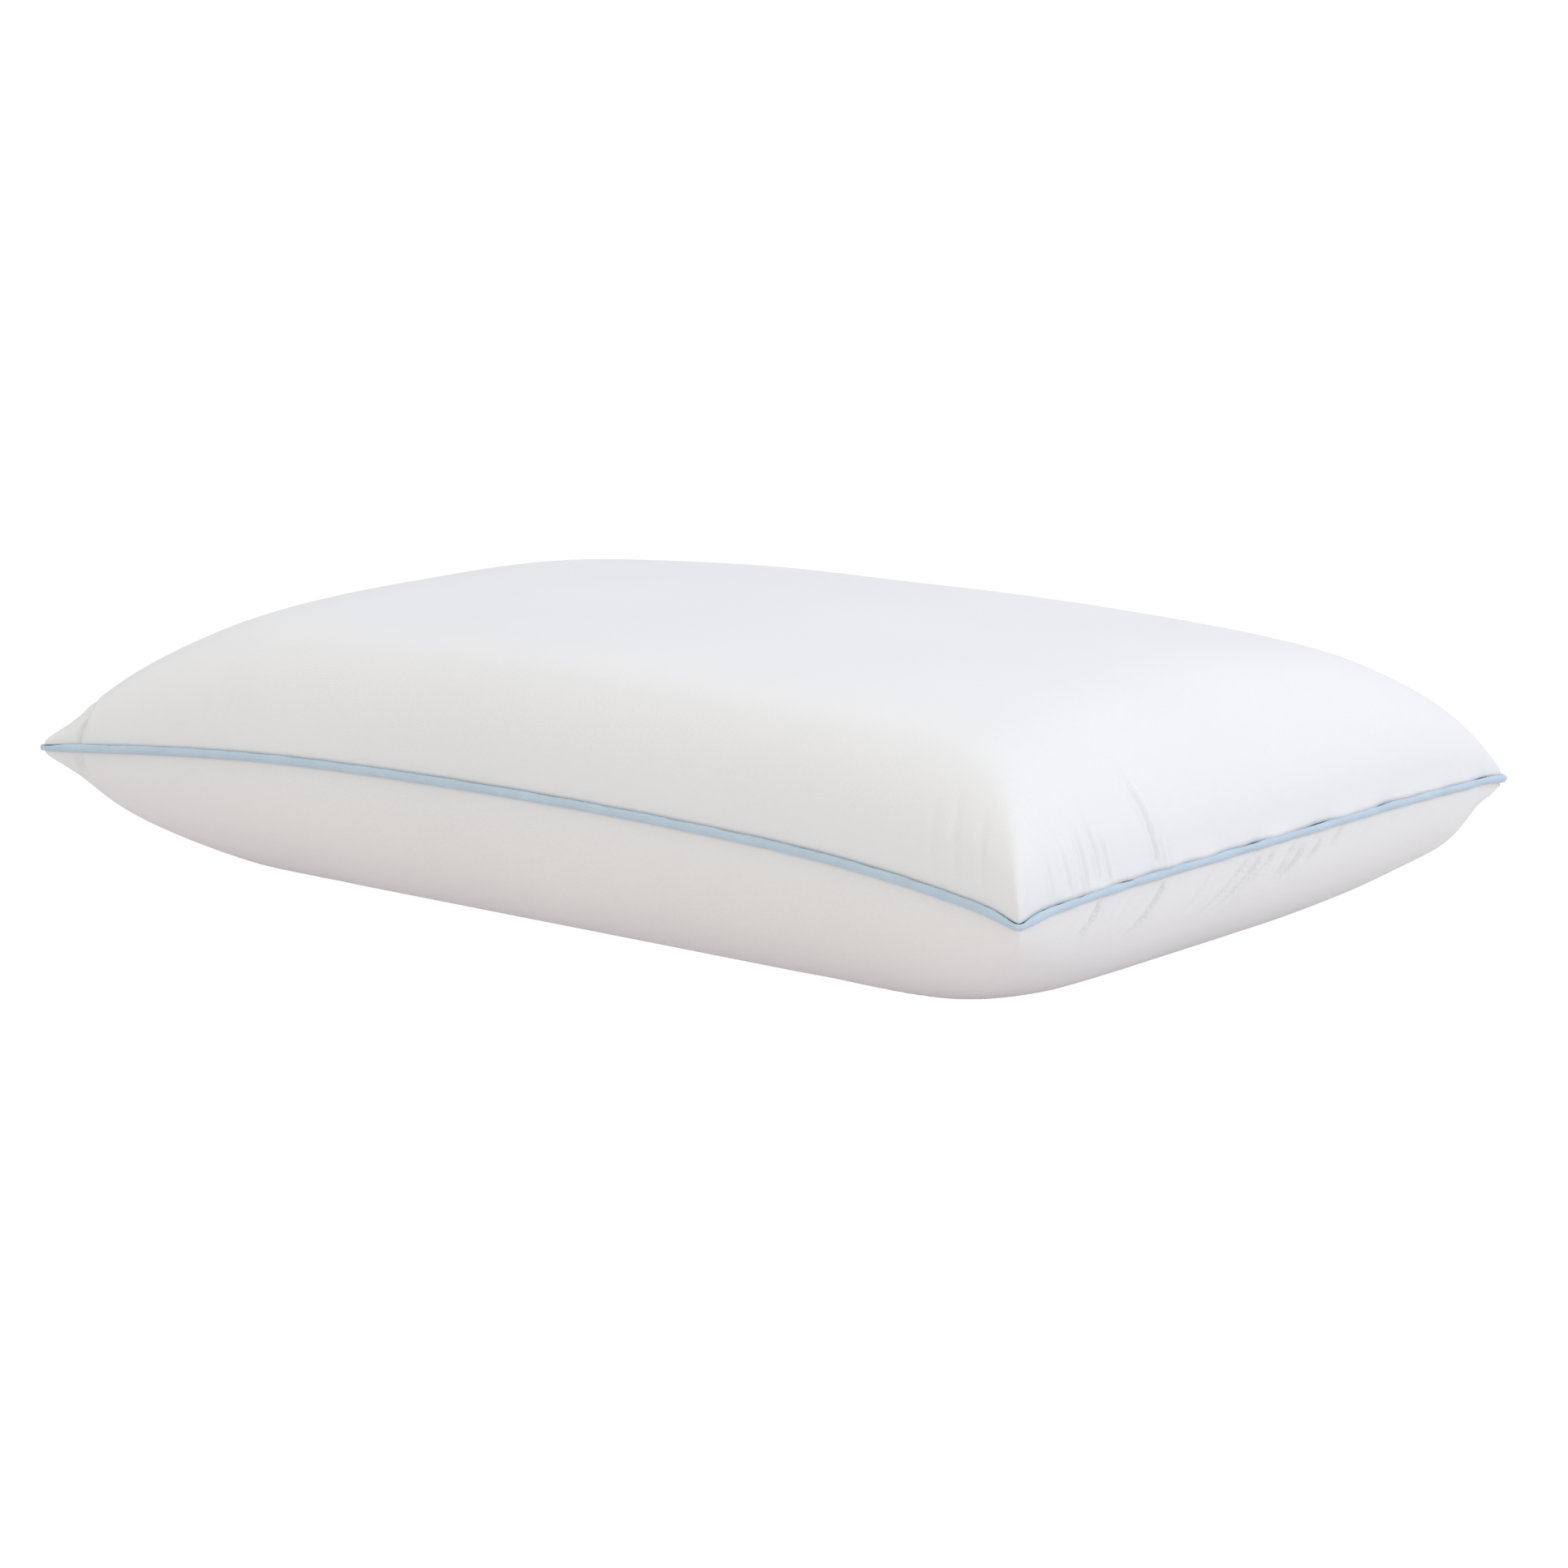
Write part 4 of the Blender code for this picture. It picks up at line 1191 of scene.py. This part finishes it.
def make_materials():
    cover_white, cover_shade = (0.885, 0.885, 0.890), (0.865, 0.866, 0.873)
    liner_white, liner_shade = (0.80, 0.80, 0.79), (0.76, 0.76, 0.75)
    cotton, cotton_shade = (0.80, 0.79, 0.76), (0.74, 0.73, 0.70)
    thread, thread_shade = (0.80, 0.82, 0.85), (0.74, 0.77, 0.80)
    tape, tape_shade = (0.82, 0.83, 0.85), (0.77, 0.78, 0.80)
    cover_knit = (0.0012, 0.0009, 0.00004, 0.15)  # a loop's width and height, its depth, and the sheen
    liner_knit = (0.0016, 0.0012, 0.00015, 0.1)
    return {
        "cover": knit_material("cover_knit_white", cover_white, cover_shade, *cover_knit),
        "liner": knit_material("liner_knit_white", liner_white, liner_shade, *liner_knit),
        "piping": piping_material(),
        "cotton": plain_cloth("piping_cotton_twist", cotton, cotton_shade, 0.0001, 0.0006, 0.9),
        "thread": plain_cloth("thread_white", thread, thread_shade, 0.00004, 0.00025, 0.55),
        "tape": plain_cloth("zip_tape_twill", tape, tape_shade, 0.00006, 0.0005, 0.8),
        "nylon": nylon_material(),
        "metal": metal_material(),
        "foam": foam_material(),
        "satin": satin_material(),
    }


# ---------------------------------------------------------------- stage


def make_stage():
    bpy.ops.mesh.primitive_plane_add(size=30.0, location=(0.0, 0.0, -0.0002))
    floor = bpy.context.active_object
    floor.name = "floor"
    finish = bpy.data.materials.new("floor_white")
    tree = Tree(finish)
    tree.tree.nodes.clear()
    glow = tree.shader("ShaderNodeEmission", Strength=FLOOR_GLOW)
    shaded = tree.shader("ShaderNodeBsdfDiffuse", Color=FLOOR_SHADE)
    bounce = tree.shader("ShaderNodeBsdfDiffuse", Color=FLOOR_BOUNCE)
    light = tree.shader("ShaderNodeEmission", Color=FLOOR_LIGHT)
    tree.show("ShaderNodeOutputMaterial", tree.sum(glow, shaded), tree.sum(bounce, light))
    floor.data.materials.append(finish)


def make_world():
    """Soft light from all round: a side's share is the square of how far a direction leans to it."""
    world = bpy.data.worlds.new("studio")
    bpy.context.scene.world = world
    tree = Tree(world)
    tree.tree.nodes.clear()
    place = tree.add("ShaderNodeTexCoord").outputs["Generated"]
    total = None
    for side, color in SKY:
        lean = tree.add("ShaderNodeVectorMath", operation="DOT_PRODUCT")
        lean.inputs[1].default_value = side
        tree.link(place, lean.inputs[0])
        share = tree.math("POWER", tree.math("MAXIMUM", lean.outputs["Value"], 0.0), 2.0)
        light = tree.shader("ShaderNodeBackground", Color=(*color, 1.0))
        tree.link(share, light.inputs["Strength"])
        total = tree.sum(total, light) if total else light
    seen = tree.shader("ShaderNodeBackground", Color=(1.0, 1.0, 1.0, 1.0), Strength=1.05)
    tree.show("ShaderNodeOutputWorld", seen, total)


def area_light(name, location, target, size, power):
    data = bpy.data.lights.new(name, "AREA")
    data.shape = "RECTANGLE"
    data.size, data.size_y = size
    data.energy = power
    obj = bpy.data.objects.new(name, data)
    bpy.context.scene.collection.objects.link(obj)
    obj.location = location
    aim = Vector(target) - Vector(location)
    obj.rotation_mode = "QUATERNION"
    obj.rotation_quaternion = aim.to_track_quat("-Z", "Y")


def make_lights():
    area_light("softbox_right", (1.9, 0.3, 1.0), (0.1, 0.0, 0.07), (1.2, 1.2), 10.0)
    area_light("softbox_top", (0.2, 0.5, 2.2), (0.0, 0.0, 0.1), (1.6, 1.2), 6.0)


def make_camera():
    azimuth, elevation = math.radians(CAMERA_AZIMUTH), math.radians(CAMERA_ELEVATION)
    back = Vector((
        math.sin(azimuth) * math.cos(elevation),
        -math.cos(azimuth) * math.cos(elevation),
        math.sin(elevation),
    ))
    right = Vector((math.cos(azimuth), math.sin(azimuth), 0.0))
    data = bpy.data.cameras.new("camera")
    data.lens = CAMERA_LENS
    data.sensor_width = 36.0
    data.clip_start, data.clip_end = 0.05, 60.0
    obj = bpy.data.objects.new("camera", data)
    bpy.context.scene.collection.objects.link(obj)
    target = right * CAMERA_AIM_RIGHT + Vector((0.0, 0.0, CAMERA_AIM_UP))
    obj.location = target + back * CAMERA_DISTANCE
    obj.rotation_mode = "QUATERNION"
    obj.rotation_quaternion = (-back).to_track_quat("-Z", "Y")
    bpy.context.scene.camera = obj


# ---------------------------------------------------------------- the scene

bpy.context.scene.view_settings.view_transform = "Standard"
bpy.context.scene.view_settings.look = "None"
make_camera()
make_stage()
make_world()
make_lights()
finishes = make_materials()
make_cover(finishes["cover"])
make_piping(finishes["piping"], finishes["cotton"])
thread_ring("cover_seam_stitching", SEAM_THREAD_IN, True, "cover_seam_thread", finishes["thread"])
thread_ring("liner_seam_stitching", LINER_THREAD_IN, False, "liner_seam_thread", finishes["thread"])
make_liner_and_core(finishes["liner"], finishes["foam"])
make_tapes(finishes["tape"])
make_coils(finishes["nylon"])
make_metal(finishes["metal"])
make_stitching(finishes["thread"])
make_label(finishes["satin"])
